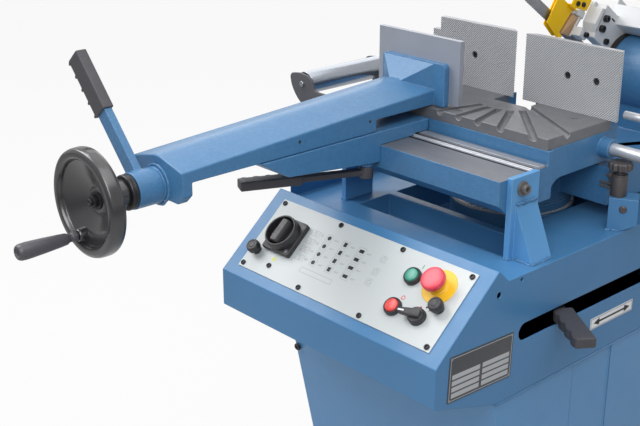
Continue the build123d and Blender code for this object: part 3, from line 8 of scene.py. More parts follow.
# %% Load the frame
import bmesh
import bpy
import json
import math
import numpy as np
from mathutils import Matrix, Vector

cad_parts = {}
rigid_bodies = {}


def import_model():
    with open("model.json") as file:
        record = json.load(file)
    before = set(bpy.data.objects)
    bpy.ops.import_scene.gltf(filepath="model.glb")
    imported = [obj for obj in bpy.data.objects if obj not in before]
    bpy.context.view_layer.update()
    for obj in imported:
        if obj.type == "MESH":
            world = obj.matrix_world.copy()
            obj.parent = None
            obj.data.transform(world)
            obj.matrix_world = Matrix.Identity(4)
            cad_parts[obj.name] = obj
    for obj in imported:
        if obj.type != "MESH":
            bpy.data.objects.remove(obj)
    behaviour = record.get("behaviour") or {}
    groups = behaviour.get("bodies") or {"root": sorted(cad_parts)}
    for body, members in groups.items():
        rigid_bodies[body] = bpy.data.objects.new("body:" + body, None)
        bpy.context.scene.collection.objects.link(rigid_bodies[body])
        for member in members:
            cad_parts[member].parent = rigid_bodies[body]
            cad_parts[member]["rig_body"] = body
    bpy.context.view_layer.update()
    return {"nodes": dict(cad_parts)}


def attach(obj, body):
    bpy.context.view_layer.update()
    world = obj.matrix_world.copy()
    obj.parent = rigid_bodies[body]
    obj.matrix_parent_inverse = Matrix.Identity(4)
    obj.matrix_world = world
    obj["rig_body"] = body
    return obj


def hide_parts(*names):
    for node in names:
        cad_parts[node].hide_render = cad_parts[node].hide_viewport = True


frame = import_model()
MM = 0.001
scene = bpy.context.scene
scene.view_settings.view_transform = "Standard"

# %% [markdown]
# ## Camera, light and floor
#
# The picture is a long-lens view from the front right, a little above the table. A product photograph of
# this kind is lit by large soft sources with white all round. One lamp overhead would leave the front walls
# dull, so five softboxes share the work, with an even world and a pale floor. The camera sees plain white;
# mirror and clear rays see a duller sky and a grey floor, so that bright metal keeps its dark sides.

# %% Camera
camera = bpy.data.objects.new("camera", bpy.data.cameras.new("camera"))
scene.collection.objects.link(camera)
camera.data.sensor_width = 36.0
camera.data.lens = 66.015
camera.location = (1.2464, -1.6103, 1.4741)
camera.rotation_euler = (math.radians(69.13), 0.0, math.radians(47.6))
scene.camera = camera
print("camera lens", round(camera.data.lens, 1))


# %% Node helpers
def feed(tree, socket, value):
    """Link into a socket where the value is a socket too, otherwise the value itself."""
    if isinstance(value, bpy.types.NodeSocket):
        tree.links.new(value, socket)
    else:
        socket.default_value = value


def wire(tree, kind, **values):
    """New node of a kind, with its inputs fed by name."""
    node = tree.nodes.new(kind)
    for name, value in values.items():
        feed(tree, node.inputs[name.replace("_", " ")], value)
    return node


def calc(tree, operation, a, b=0.0):
    """Math node on two values or sockets; returns its result."""
    node = tree.nodes.new("ShaderNodeMath")
    node.operation = operation
    feed(tree, node.inputs[0], a)
    feed(tree, node.inputs[1], b)
    return node.outputs[0]


def seen_directly(tree, in_mirrors):
    """1 for camera rays, `in_mirrors` for mirror and clear rays, 0 for the rays that light the object."""
    path = tree.nodes.new("ShaderNodeLightPath")
    mirror = calc(tree, "MAXIMUM", path.outputs["Is Glossy Ray"], path.outputs["Is Transmission Ray"])
    return calc(tree, "MAXIMUM", path.outputs["Is Camera Ray"], calc(tree, "MULTIPLY", mirror, in_mirrors))


WHITE = (1.0, 1.0, 1.0, 1.0)
print("node helpers ready")

# %% World
AMBIENT = 0.28
SKY_IN_MIRRORS = 0.5
world = bpy.data.worlds.new("studio")
scene.world = world
world.use_nodes = True
sky = world.node_tree
background = sky.nodes["Background"]
background.inputs["Color"].default_value = WHITE
above_ambient = calc(sky, "MULTIPLY", seen_directly(sky, SKY_IN_MIRRORS), 1.0 - AMBIENT)
sky.links.new(calc(sky, "ADD", above_ambient, AMBIENT), background.inputs["Strength"])
print("world with ambient light", AMBIENT)


# %% Softboxes
def softbox(name, size, energy, at, towards):
    """Square soft lamp turned to a point."""
    lamp = bpy.data.objects.new(name, bpy.data.lights.new(name, "AREA"))
    scene.collection.objects.link(lamp)
    lamp.data.size = size
    lamp.data.energy = energy
    lamp.location = at
    lamp.rotation_euler = (Vector(towards) - Vector(at)).to_track_quat("-Z", "Y").to_euler()
    return lamp


lamps = [
    softbox("key_softbox", 1.7, 50.0, (-1.7, -1.35, 2.75), (0.0, -0.35, 0.75)),
    softbox("left_rim_softbox", 2.4, 18.0, (-2.1, 1.7, 2.2), (-0.05, -0.35, 0.85)),
    softbox("top_softbox", 4.0, 43.0, (0.2, -0.2, 3.4), (0.2, -0.2, 0.0)),
    softbox("right_top_softbox", 2.0, 18.0, (1.2, -0.3, 3.2), (0.1, -0.3, 0.7)),
    softbox("front_softbox", 2.0, 56.0, (1.6, -2.3, 2.7), (0.1, -0.3, 0.7)),
]
print(len(lamps), "softboxes")

# %% Floor
FLOOR_REACH = 30.0
FLOOR_GLOW = 0.93
FLOOR_IN_MIRRORS = 0.10
floor_corners = [(x * FLOOR_REACH, y * FLOOR_REACH, 0) for x, y in ((-1, -1), (1, -1), (1, 1), (-1, 1))]
floor_mesh = bpy.data.meshes.new("floor")
floor_mesh.from_pydata(floor_corners, [], [(0, 1, 2, 3)])
floor = bpy.data.objects.new("floor", floor_mesh)
scene.collection.objects.link(floor)
floor_look = bpy.data.materials.new("pale_floor")
floor_look.use_nodes = True
tree = floor_look.node_tree
tree.nodes.clear()
matt = wire(tree, "ShaderNodeBsdfDiffuse", Color=(0.55, 0.55, 0.55, 1.0))
glow = wire(tree, "ShaderNodeEmission", Color=WHITE)
blend = tree.nodes.new("ShaderNodeMixShader")
tree.links.new(calc(tree, "MULTIPLY", seen_directly(tree, FLOOR_IN_MIRRORS), FLOOR_GLOW), blend.inputs[0])
tree.links.new(matt.outputs[0], blend.inputs[1])
tree.links.new(glow.outputs[0], blend.inputs[2])
tree.links.new(blend.outputs[0], tree.nodes.new("ShaderNodeOutputMaterial").inputs[0])
floor_mesh.materials.append(floor_look)
print("floor reaches", FLOOR_REACH, "m")

# %% [markdown]
# ## Shared effects
#
# Every finish is a Principled surface fed by a few shared effects: a slow cloudy change of tone, the
# pebble of a thick coat, the fine lines of a cutter or grinder, paler edges that are partly wear and partly
# a painted highlight, and settled dust. Each could be built again in every material; as a node group with
# named inputs, one change reaches every finish that uses it.


# %% Colour and group tools
def tone(red, green, blue):
    """Linear colour from 0-255 display values: a straight line near black, a power of 2.4 above it."""
    display = np.array([red, green, blue]) / 255.0
    linear = np.where(display <= 0.04045, display / 12.92, ((display + 0.055) / 1.055) ** 2.4)
    return (*linear.tolist(), 1.0)


SOCKET = {float: "NodeSocketFloat", tuple: "NodeSocketColor", list: "NodeSocketVector"}


def effect(name, inputs, outputs):
    """Node group with named inputs, each with its start value, and named outputs."""
    tree = bpy.data.node_groups.new(name, "ShaderNodeTree")
    for label, start in inputs.items():
        socket = tree.interface.new_socket(name=label, in_out="INPUT", socket_type=SOCKET[type(start)])
        socket.default_value = start
    for label, kind in outputs.items():
        tree.interface.new_socket(name=label, in_out="OUTPUT", socket_type=SOCKET[kind])
    return tree, tree.nodes.new("NodeGroupInput").outputs, tree.nodes.new("NodeGroupOutput").inputs


def vector_math(tree, operation, a, b):
    """Vector Math node on two sockets; for SCALE the second one is the factor."""
    node = tree.nodes.new("ShaderNodeVectorMath")
    node.operation = operation
    tree.links.new(a, node.inputs[0])
    tree.links.new(b, node.inputs["Scale" if operation == "SCALE" else 1])
    return node


def object_place(tree):
    """Object coordinates: the place on the model, in metres."""
    return tree.nodes.new("ShaderNodeTexCoord").outputs["Object"]


def normal_parts(tree):
    """The surface normal's X, Y and Z."""
    normal = tree.nodes.new("ShaderNodeNewGeometry").outputs["Normal"]
    return wire(tree, "ShaderNodeSeparateXYZ", Vector=normal).outputs


def noise(tree, scale, detail, at=None):
    """Noise from 0 to 1 over the model's own coordinates, or over a given vector."""
    where = at if at else object_place(tree)
    return wire(tree, "ShaderNodeTexNoise", Vector=where, Scale=scale, Detail=detail).outputs[0]


def ramp(tree, value, low, high, to_low=0.0, to_high=1.0):
    """Value carried linearly from one range to another, held at the ends."""
    node = wire(tree, "ShaderNodeMapRange", Value=value, From_Min=low, From_Max=high,
                To_Min=to_low, To_Max=to_high)
    return node.outputs[0]


def mix_tone(tree, factor, a, b):
    """Colour between two colours."""
    node = tree.nodes.new("ShaderNodeMix")
    node.data_type = "RGBA"
    for number, value in ((0, factor), (6, a), (7, b)):
        feed(tree, node.inputs[number], value)
    return node.outputs[2]


print("colour and group tools ready")

# %% Cloudy tone and pebbled coat
cloudy, given, result = effect("cloudy_tone", {"Tone": WHITE, "Scale": 9.0, "Shift": 0.06},
                               {"Color": tuple})
clouds = noise(cloudy, given["Scale"], 4.0)
swing = calc(cloudy, "MULTIPLY", calc(cloudy, "SUBTRACT", clouds, 0.5), given["Shift"])
level = calc(cloudy, "ADD", calc(cloudy, "MULTIPLY", swing, 4.0), 1.0)
cloudy.links.new(vector_math(cloudy, "SCALE", given["Tone"], level).outputs[0], result["Color"])

pebble, given, result = effect("pebbled_coat", {"Scale": 700.0, "Depth": 1.0}, {"Height": float})
grains = noise(pebble, given["Scale"], 2.0)
swells = noise(pebble, calc(pebble, "MULTIPLY", given["Scale"], 0.12), 2.0)
height = calc(pebble, "ADD", grains, calc(pebble, "MULTIPLY", swells, 1.5))
pebble.links.new(calc(pebble, "MULTIPLY", height, given["Depth"]), result["Height"])
print("effects:", cloudy.name, pebble.name)

# %% Tool lines
tooling, given, result = effect("tool_lines", {"Stretch": [30.0, 900.0, 900.0], "Depth": 1.0},
                                {"Height": float, "Shade": float})
stretched = vector_math(tooling, "MULTIPLY", object_place(tooling), given["Stretch"])
streaks = noise(tooling, 1.0, 3.0, stretched.outputs[0])
tooling.links.new(calc(tooling, "MULTIPLY", streaks, given["Depth"]), result["Height"])
tooling.links.new(ramp(tooling, streaks, 0.3, 0.7), result["Shade"])
print("effect:", tooling.name)

# %% Paler edges (wear and painted highlight) and settled dust
edge_light_and_wear_group, given, result = effect("edge_wear_and_highlight", {"Width": 0.002, "Amount": 0.5}, {"Mask": float})
round_normal = wire(edge_light_and_wear_group, "ShaderNodeBevel", Radius=given["Width"])
round_normal.samples = 4
flat_normal = edge_light_and_wear_group.nodes.new("ShaderNodeNewGeometry").outputs["Normal"]
agree = vector_math(edge_light_and_wear_group, "DOT_PRODUCT", round_normal.outputs[0], flat_normal)
# Edges are paler where the rounded normal parts from the flat one, broken up by noise: partly wear, partly a
# painted highlight along the edges.
edge = ramp(edge_light_and_wear_group, agree.outputs["Value"], 0.995, 0.90)
edge_light_and_wear = calc(edge_light_and_wear_group, "MULTIPLY", edge, ramp(edge_light_and_wear_group, noise(edge_light_and_wear_group, 60.0, 3.0), 0.35, 0.65))
edge_light_and_wear_group.links.new(calc(edge_light_and_wear_group, "MULTIPLY", edge_light_and_wear, given["Amount"]), result["Mask"])

dusty, given, result = effect("settled_dust", {"Amount": 0.1}, {"Mask": float})
upward = ramp(dusty, normal_parts(dusty)["Z"], 0.4, 1.0)
lying = calc(dusty, "MULTIPLY", upward, ramp(dusty, noise(dusty, 35.0, 6.0), 0.4, 0.75))
dusty.links.new(calc(dusty, "MULTIPLY", lying, given["Amount"]), result["Mask"])
print("effects:", edge_light_and_wear_group.name, dusty.name)


# %% The finish builder
DUST_TONE = (190, 190, 186)


def use(tree, name, **values):
    """Instance of a shared effect, with its inputs fed by name."""
    node = tree.nodes.new("ShaderNodeGroup")
    node.node_tree = bpy.data.node_groups[name]
    for label, value in values.items():
        feed(tree, node.inputs[label], value)
    return node.outputs


def finish(name, base, rough, metal=0.0, cloud=(9.0, 0.05), grain=(700.0, 0.0), lines=None, edge_light_and_wear=None,
           dust=0.0, coat=0.0, uneven=0.06, shine=0.5):
    """Procedural finish.

    base: display colour. cloud: scale and swing of the slow change of tone. grain: scale and height in
    metres of the coat's pebble. lines: stretch vector and height of tool lines, which take the pebble's
    place. edge_light_and_wear: colour, amount and width of the paler edges, partly wear and partly a
    painted highlight. uneven: swing of the roughness."""
    look = bpy.data.materials.new(name)
    look.use_nodes = True
    tree = look.node_tree
    surface = tree.nodes["Principled BSDF"]
    colour = use(tree, "cloudy_tone", Tone=tone(*base), Scale=cloud[0], Shift=cloud[1])["Color"]
    if dust:
        colour = mix_tone(tree, use(tree, "settled_dust", Amount=dust)["Mask"], colour, tone(*DUST_TONE))
    patches = noise(tree, cloud[0] * 6.0, 4.0)
    level = ramp(tree, patches, 0.3, 0.7, rough - uneven, rough + uneven)
    if lines:
        ruled = use(tree, "tool_lines", Stretch=lines[0], Depth=1.0)
        height, distance = ruled["Height"], lines[1]
        shade = calc(tree, "MULTIPLY", ruled["Shade"], 0.22)
        colour = mix_tone(tree, shade, colour, tone(*[0.55 * c for c in base]))
    else:
        height, distance = use(tree, "pebbled_coat", Scale=grain[0], Depth=1.0)["Height"], grain[1]
    # Paler edges: partly wear, partly a painted highlight.
    if edge_light_and_wear:
        mask = use(tree, "edge_wear_and_highlight", Width=edge_light_and_wear[2], Amount=edge_light_and_wear[1])["Mask"]
        colour = mix_tone(tree, mask, colour, tone(*edge_light_and_wear[0]))
    bump = wire(tree, "ShaderNodeBump", Height=height, Strength=1.0, Distance=distance)
    for label, socket in (("Normal", bump.outputs[0]), ("Base Color", colour), ("Roughness", level)):
        tree.links.new(socket, surface.inputs[label])
    surface.inputs["Metallic"].default_value = metal
    surface.inputs["Specular IOR Level"].default_value = shine
    surface.inputs["Coat Weight"].default_value = coat
    surface.inputs["Coat Roughness"].default_value = 0.25
    return look


print("finish builder ready")

# %% [markdown]
# ## Paints
#
# Folded sheet has a thin, smooth powder coat. Castings have a thick coat that stays pebbled. Both are blue
# and paler along the edges, partly wear and partly a painted highlight; the bow and the guide's carrier are
# pale grey. The posts and the stand get lighter copies of the sheet's blue, which paint in the light they
# catch. The pebble is a bump fed by noise, because it is too fine for a mesh of this size.

# %% Paints
# Paler edge tone of the paint: partly wear, partly a painted highlight.
PAINT_EDGE_LIGHT_AND_WEAR = (150, 180, 214)
CASTING = dict(base=(64, 114, 157), rough=0.44, grain=(360.0, 0.0006), cloud=(150.0, 0.08),
               edge_light_and_wear=(PAINT_EDGE_LIGHT_AND_WEAR, 0.4, 0.002), dust=0.03, coat=0.45, shine=0.3)
cast_blue = finish("blue_casting", **CASTING)
sheet_blue = finish("blue_sheet", (68, 121, 167), 0.40, grain=(900.0, 0.00004), cloud=(5.0, 0.03),
                    edge_light_and_wear=(PAINT_EDGE_LIGHT_AND_WEAR, 0.35, 0.0015), dust=0.02, coat=0.3, shine=0.25)
# Same blue paint as the sheet, made lighter for the posts and the stand: painted light, standing in for the
# extra light those faces catch.
post_blue_painted_light = finish("blue_post_sheet_painted_light", (88, 146, 197), 0.40, grain=(700.0, 0.00006), cloud=(8.0, 0.03),
                   edge_light_and_wear=((170, 198, 226), 0.4, 0.0015), dust=0.02, coat=0.3, shine=0.25)
stand_blue_painted_light = finish("blue_stand_sheet_painted_light", (80, 137, 186), 0.40, grain=(900.0, 0.00004), cloud=(5.0, 0.03),
                    edge_light_and_wear=(PAINT_EDGE_LIGHT_AND_WEAR, 0.35, 0.0015), dust=0.02, coat=0.5, shine=0.3)
pale_grey = finish("pale_grey_paint", (212, 214, 216), 0.42, grain=(600.0, 0.0001), cloud=(8.0, 0.03),
                   edge_light_and_wear=((238, 238, 238), 0.4, 0.0015), dust=0.04, coat=0.1)
tank_grey = finish("grey_sheet_paint", (150, 152, 155), 0.5, grain=(800.0, 0.00006), dust=0.08)
motor_look = finish("motor_grey_paint", (120, 123, 127), 0.48, grain=(700.0, 0.0001), dust=0.06)
panel_look = finish("panel_sheet", (190, 196, 197), 0.42, cloud=(4.0, 0.012), grain=(1500.0, 0.00001),
                    uneven=0.03)
guard_yellow = finish("yellow_paint", (255, 204, 0), 0.40, cloud=(12.0, 0.04), grain=(700.0, 0.00005),
                      edge_light_and_wear=((255, 222, 90), 0.4, 0.001), shine=0.25)
plate_black = finish("black_sheet_paint", (74, 75, 81), 0.52, cloud=(20.0, 0.05), grain=(900.0, 0.00006),
                     edge_light_and_wear=((120, 120, 126), 0.4, 0.001))
print(len(bpy.data.materials), "materials with the paints")

# %% [markdown]
# ## Mouldings
#
# Grips and switch bodies are black plastic or rubber, satin where hands hold them and glossy on the
# handwheel. Caps and the stop button's disc are dyed through, so their tone is even and their edges get no
# paler band of wear and painted highlight.

# %% Mouldings
black_plastic = finish("black_plastic", (44, 44, 47), 0.42, cloud=(20.0, 0.08), grain=(1200.0, 0.00006),
                       edge_light_and_wear=((92, 92, 95), 0.5, 0.001))
glossy_black = finish("glossy_black_moulding", (38, 38, 41), 0.22, cloud=(10.0, 0.04), uneven=0.03,
                      edge_light_and_wear=((96, 96, 100), 0.5, 0.0012), coat=0.6, shine=0.7)
rubber_grey = finish("grip_rubber", (66, 65, 70), 0.52, cloud=(30.0, 0.07), grain=(1500.0, 0.00007),
                     edge_light_and_wear=((100, 99, 104), 0.5, 0.0012))
grip_plastic = finish("satin_grip_plastic", (74, 74, 80), 0.40, cloud=(25.0, 0.06), grain=(1300.0, 0.00005),
                      edge_light_and_wear=((112, 112, 118), 0.5, 0.0012))
CAP = dict(rough=0.30, cloud=(30.0, 0.04), coat=0.3, uneven=0.03)
green_cap = finish("green_cap", (58, 148, 128), **CAP)
red_cap = finish("red_cap", (216, 70, 66), **CAP)
stop_red = finish("mushroom_red", (222, 62, 82), 0.34, cloud=(30.0, 0.04), coat=0.25, uneven=0.03)
stop_yellow = finish("yellow_disc", (238, 190, 40), 0.42, cloud=(25.0, 0.03), uneven=0.03)
print(len(bpy.data.materials), "materials with the mouldings")

# %% [markdown]
# ## Metals
#
# Cast iron is milled and dull, rods and roller are drawn or chromed, screws are black oxide, and the index
# post has gone brown. Ground faces get tool lines: noise drawn out along one axis, which gives streaks
# that never repeat, where a picture of them would.

# %% Metals
dark_steel = finish("black_oxide_steel", (52, 52, 55), 0.38, metal=0.6, cloud=(40.0, 0.08),
                    grain=(900.0, 0.00005), edge_light_and_wear=((130, 130, 134), 0.6, 0.0008))
cast_iron = finish("milled_cast_iron", (124, 125, 129), 0.48, metal=0.55, cloud=(40.0, 0.10),
                   grain=(900.0, 0.0002), edge_light_and_wear=((160, 160, 164), 0.6, 0.0012), dust=0.05)
jaw_back = finish("plain_jaw_back", (158, 163, 174), 0.42, metal=0.4, cloud=(10.0, 0.05),
                  grain=(900.0, 0.00003), edge_light_and_wear=((216, 218, 222), 0.5, 0.001))
ground_steel = finish("ground_steel", (158, 160, 166), 0.34, metal=0.85, cloud=(12.0, 0.06),
                      lines=([20.0, 900.0, 900.0], 0.00003), edge_light_and_wear=((210, 211, 214), 0.5, 0.001))
bright_rod = finish("bright_rod", (206, 209, 214), 0.36, metal=0.55, cloud=(12.0, 0.02), uneven=0.03)
roller_steel = finish("roller_steel", (178, 184, 193), 0.20, metal=0.95, cloud=(10.0, 0.03), uneven=0.03)
aged_steel = finish("aged_steel", (112, 107, 104), 0.42, metal=0.4, cloud=(45.0, 0.12),
                    grain=(700.0, 0.0001), edge_light_and_wear=((150, 146, 142), 0.6, 0.001))
browned_steel = finish("browned_steel", (82, 78, 79), 0.44, metal=0.3, cloud=(45.0, 0.10),
                       grain=(700.0, 0.0001), edge_light_and_wear=((126, 120, 118), 0.6, 0.001))
scale_look = finish("engraved_scale", (236, 237, 239), 0.45, metal=0.1, cloud=(20.0, 0.05))
blade_look = finish("blade_steel", (164, 164, 167), 0.34, metal=0.85, cloud=(25.0, 0.08),
                    lines=([900.0, 25.0, 900.0], 0.00002), edge_light_and_wear=((190, 190, 192), 0.6, 0.0006))
guide_tan = finish("bronze_guide", (206, 168, 126), 0.38, metal=0.35, cloud=(50.0, 0.10),
                   grain=(900.0, 0.0001))
print(len(bpy.data.materials), "materials with the metals")

# %% [markdown]
# ## Inks, labels and plates
#
# Screen print, engraved cuts and label stock are thin pieces of their own here, so each needs only an even
# finish with a slight cloud of tone. A painted picture could hold them too, but its edges would blur.

# %% Inks, labels and plates
INK = dict(rough=0.5, cloud=(40.0, 0.05))
ink_black = finish("black_ink", (30, 30, 32), **INK)
ink_grey = finish("grey_ink", (130, 134, 136), **INK)
ink_green = finish("green_ink", (40, 140, 96), **INK)
ink_red = finish("red_ink", (205, 52, 56), **INK)
label_white = finish("white_label", (228, 230, 232), 0.45, cloud=(20.0, 0.02), uneven=0.03)
plate_grey = finish("dark_plate", (78, 80, 84), 0.40, metal=0.3, cloud=(15.0, 0.05),
                    lines=([60.0, 60.0, 1500.0], 0.00001))
field_grey = finish("pale_field", (176, 179, 183), 0.42, metal=0.2, cloud=(20.0, 0.03), uneven=0.03)
dot_green = finish("green_dot", (196, 201, 96), 0.45, cloud=(40.0, 0.04), uneven=0.03)
deep_dark = finish("deep_shadow", (20, 20, 24), 0.7, cloud=(20.0, 0.05))
print(len(bpy.data.materials), "materials in all")

# %% [markdown]
# ## Tools for shapes
#
# New pieces are surfaces on grids: a ring of points carried along a path, a profile turned about an axis,
# or an outline raised in layers. Modelling by hand or with solid operations would do as well, but a grid
# of points worked out as one array has clean quads and can be changed by its numbers alone.


# %% Pieces and skins
def piece(name, shape, body, look, stands_for=(), crisp=35.0):
    """Object from (points in millimetres, faces); edges sharper than `crisp` degrees stay sharp."""
    points, faces = shape
    mesh = bpy.data.meshes.new(name)
    mesh.from_pydata((np.asarray(points, float) * MM).tolist(), [], [list(f) for f in faces])
    turned_out = bmesh.new()
    turned_out.from_mesh(mesh)
    bmesh.ops.recalc_face_normals(turned_out, faces=turned_out.faces)
    turned_out.to_mesh(mesh)
    turned_out.free()
    mesh.shade_smooth()
    mesh.set_sharp_from_angle(angle=math.radians(crisp))
    mesh.materials.append(look)
    obj = bpy.data.objects.new(name, mesh)
    scene.collection.objects.link(obj)
    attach(obj, body)
    if stands_for:
        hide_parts(*stands_for)
    return obj


def skin(rings, loop=False):
    """Surface through rings (n, m, 3): each ring joins the next by quads.

    The two ends get flat caps, or, with loop, the last ring joins the first."""
    rings = np.asarray(rings, float)
    count, size = rings.shape[:2]
    index = np.arange(count * size).reshape(count, size)
    here = index if loop else index[:-1]
    there = np.roll(index, -1, 0) if loop else index[1:]
    quads = np.stack([here, np.roll(here, -1, 1), np.roll(there, -1, 1), there], -1)
    faces = quads.reshape(-1, 4).tolist()
    if not loop:
        faces += [index[0][::-1].tolist(), index[-1].tolist()]
    return rings.reshape(-1, 3), faces


def together(*shapes):
    """Several shapes as one: the points in a row, each face's numbers moved on by the points before it."""
    points, faces, start = [], [], 0
    for some_points, some_faces in shapes:
        points.append(np.asarray(some_points, float))
        faces += [[start + i for i in face] for face in some_faces]
        start += len(some_points)
    return np.concatenate(points), faces


print("piece and skin ready")


# %% Frames and turned shapes
def angles(count):
    """Equal steps round a full turn, in radians, without the last one."""
    return np.linspace(0, 2 * np.pi, count, endpoint=False)


def place(origin, w, u):
    """Frame with its third axis along w and its first axis near u."""
    w = np.asarray(w, float) / np.linalg.norm(w)
    u = np.asarray(u, float) - w * np.dot(w, u)
    u /= np.linalg.norm(u)
    return np.asarray(origin, float), u, np.cross(w, u), w


def put(where, points):
    """Points of a local frame in the model's frame: the origin plus each coordinate times its axis."""
    origin, u, v, w = where
    points = np.asarray(points, float)
    return origin + points[..., :1] * u + points[..., 1:2] * v + points[..., 2:3] * w


def turned(profile, where, count=48, ripple=None):
    """Profile of (radius, height) turned about the frame's third axis.

    ripple(angle, height) multiplies the radius, for flutes and facets."""
    profile = np.asarray(profile, float)
    angle = angles(count)
    radius = profile[:, :1] * np.ones(count)
    height = profile[:, 1:] * np.ones(count)
    if ripple:
        radius = radius * ripple(angle[None, :], height)
    return skin(put(where, np.stack([radius * np.cos(angle), radius * np.sin(angle), height], -1)))


WORLD = place((0, 0, 0), (0, 0, 1), (1, 0, 0))
print("frames and lathe ready")


# %% Outlines and slabs
def rounded(corners, radius, steps=4, closed=False):
    """Line through corners with each corner drawn as a short curve; radius may differ per corner.

    The curve is a quadratic one: it starts and ends one radius from the corner, at most 0.48 of a side, and
    the corner itself pulls it."""
    corners = np.asarray(corners, float)
    count = len(corners)
    radii = np.broadcast_to(np.asarray(radius, float), (count,))
    line = []
    for k, corner in enumerate(corners):
        if not closed and k in (0, count - 1) or radii[k] <= 0:
            line.append(corner[None])
            continue
        before = corners[k - 1] - corner
        after = corners[(k + 1) % count] - corner
        room = 0.48 * min(np.linalg.norm(before), np.linalg.norm(after))
        start = corner + before / np.linalg.norm(before) * min(radii[k], room)
        end = corner + after / np.linalg.norm(after) * min(radii[k], room)
        t = np.linspace(0, 1, steps + 1)[:, None]
        line.append((1 - t) ** 2 * start + 2 * t * (1 - t) * corner + t ** 2 * end)
    return np.concatenate(line)


def rectangle(width, height, radius=0.0, steps=4):
    """Rectangle about the origin with round corners, counter-clockwise."""
    x, y = width / 2, height / 2
    corners = [(-x, -y), (x, -y), (x, y), (-x, y)]
    return rounded(corners, radius, steps, closed=True) if radius else np.array(corners)


def drawn_in(outline, amount):
    """Outline moved inwards along each corner's mitre: the sum of the two sides' inward normals over one
    plus their product, times the amount."""
    outline = np.asarray(outline, float)
    along = np.roll(outline, -1, 0) - outline
    along /= np.linalg.norm(along, axis=1)[:, None]
    inward = np.stack([-along[:, 1], along[:, 0]], 1)
    before = np.roll(inward, 1, 0)
    mitre = (inward + before) / (1 + (inward * before).sum(1))[:, None]
    return outline + amount * mitre


def slab(outline, low, high, where, soft=0.6, steps=3):
    """Outline raised from low to high, with its upper and lower rims rounded by `soft`.

    Along a quarter turn the inset is soft times one minus the sine, and the rise is soft times one minus
    the cosine."""
    turn = np.linspace(0, np.pi / 2, steps + 1)
    inset = soft * (1 - np.sin(turn))
    rise = soft * (1 - np.cos(turn))
    levels = [(low + r, i) for r, i in zip(rise, inset)]
    levels += [(high - r, i) for r, i in zip(rise[::-1], inset[::-1])]
    rings = []
    for level, amount in levels:
        ring = drawn_in(outline, amount)
        rings.append(put(where, np.column_stack([ring, np.full(len(ring), level)])))
    return skin(rings)


print("outline tools ready")


# %% [markdown]
# ## Sheet, castings and the covered parts
#
# The stand and housing are folded sheet with a fold radius of a few millimetres. The arm, bracket, table
# and console are castings under thick paint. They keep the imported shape, and only their edges are rounded,
# as a press brake or a mould leaves them: a Bevel modifier on a merged copy does that in one step. Parts
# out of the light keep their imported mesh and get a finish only.


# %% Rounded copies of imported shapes
def softened(node, width, look, steps=2, sharp=28.0, fine=None):
    """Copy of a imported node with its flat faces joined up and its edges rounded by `width` millimetres.

    fine: a depth y and a share; edges that lie wholly behind y get only that share of the width."""
    body = frame["nodes"][node]["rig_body"]
    work = bmesh.new()
    work.from_mesh(frame["nodes"][node].data)
    bmesh.ops.remove_doubles(work, verts=work.verts, dist=2e-5)
    bmesh.ops.dissolve_limit(work, angle_limit=math.radians(0.6), verts=work.verts, edges=work.edges)
    work.verts.index_update()
    points = [v.co[:] for v in work.verts]
    faces = [[v.index for v in face.verts] for face in work.faces]
    folds = {frozenset(v.index for v in edge.verts): edge.calc_face_angle(0.0) for edge in work.edges}
    work.free()
    mesh = bpy.data.meshes.new(node + "_look")
    mesh.from_pydata(points, [], faces)
    mesh.shade_smooth()
    mesh.set_sharp_from_angle(angle=math.radians(sharp))
    mesh.materials.append(look)
    obj = bpy.data.objects.new(node + "_look", mesh)
    scene.collection.objects.link(obj)
    bevel = obj.modifiers.new("rounded_edges", "BEVEL")
    bevel.width = width * MM
    bevel.segments = steps
    bevel.limit_method = "ANGLE"
    bevel.angle_limit = math.radians(sharp)
    if fine:
        bevel.limit_method = "WEIGHT"
        weights = mesh.attributes.new("bevel_weight_edge", "FLOAT", "EDGE").data
        for edge in mesh.edges:
            behind = all(points[n][1] > fine[0] * MM for n in edge.vertices)
            turned_over = folds[frozenset(edge.vertices)] > math.radians(sharp)
            weights[edge.index].value = turned_over * (fine[1] if behind else 1.0)
    bevel.use_clamp_overlap = False
    bevel.harden_normals = True
    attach(obj, body)
    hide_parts(node)
    return obj


print("bevel tool ready")


# %% Finish of the guide bed
BED_LEVEL = 0.8822
SLOT_LEVEL = 0.870
BED_FRONT, RAIL, WALL = -300.0, -200.0, -158.5
OIL_SLOT = (-207.6, -202.4)
SCRAPE_LINES = 1900.0
# Bands across the rail: the lip and the highlight line are painted highlights, the shadow line and the
# groove painted shade.
BED_BANDS = {"lip": (-197.4, -193.6, (206, 208, 213)), "shadow line": (-193.6, -191.4, (58, 60, 66)),
             "highlight line": (-191.4, -189.4, (176, 179, 185)), "groove": (-189.4, -181.4, (86, 88, 94)),
             "scraped land": (-181.0, -166.0, None), "wall strip": (-166.0, WALL, (122, 125, 131))}


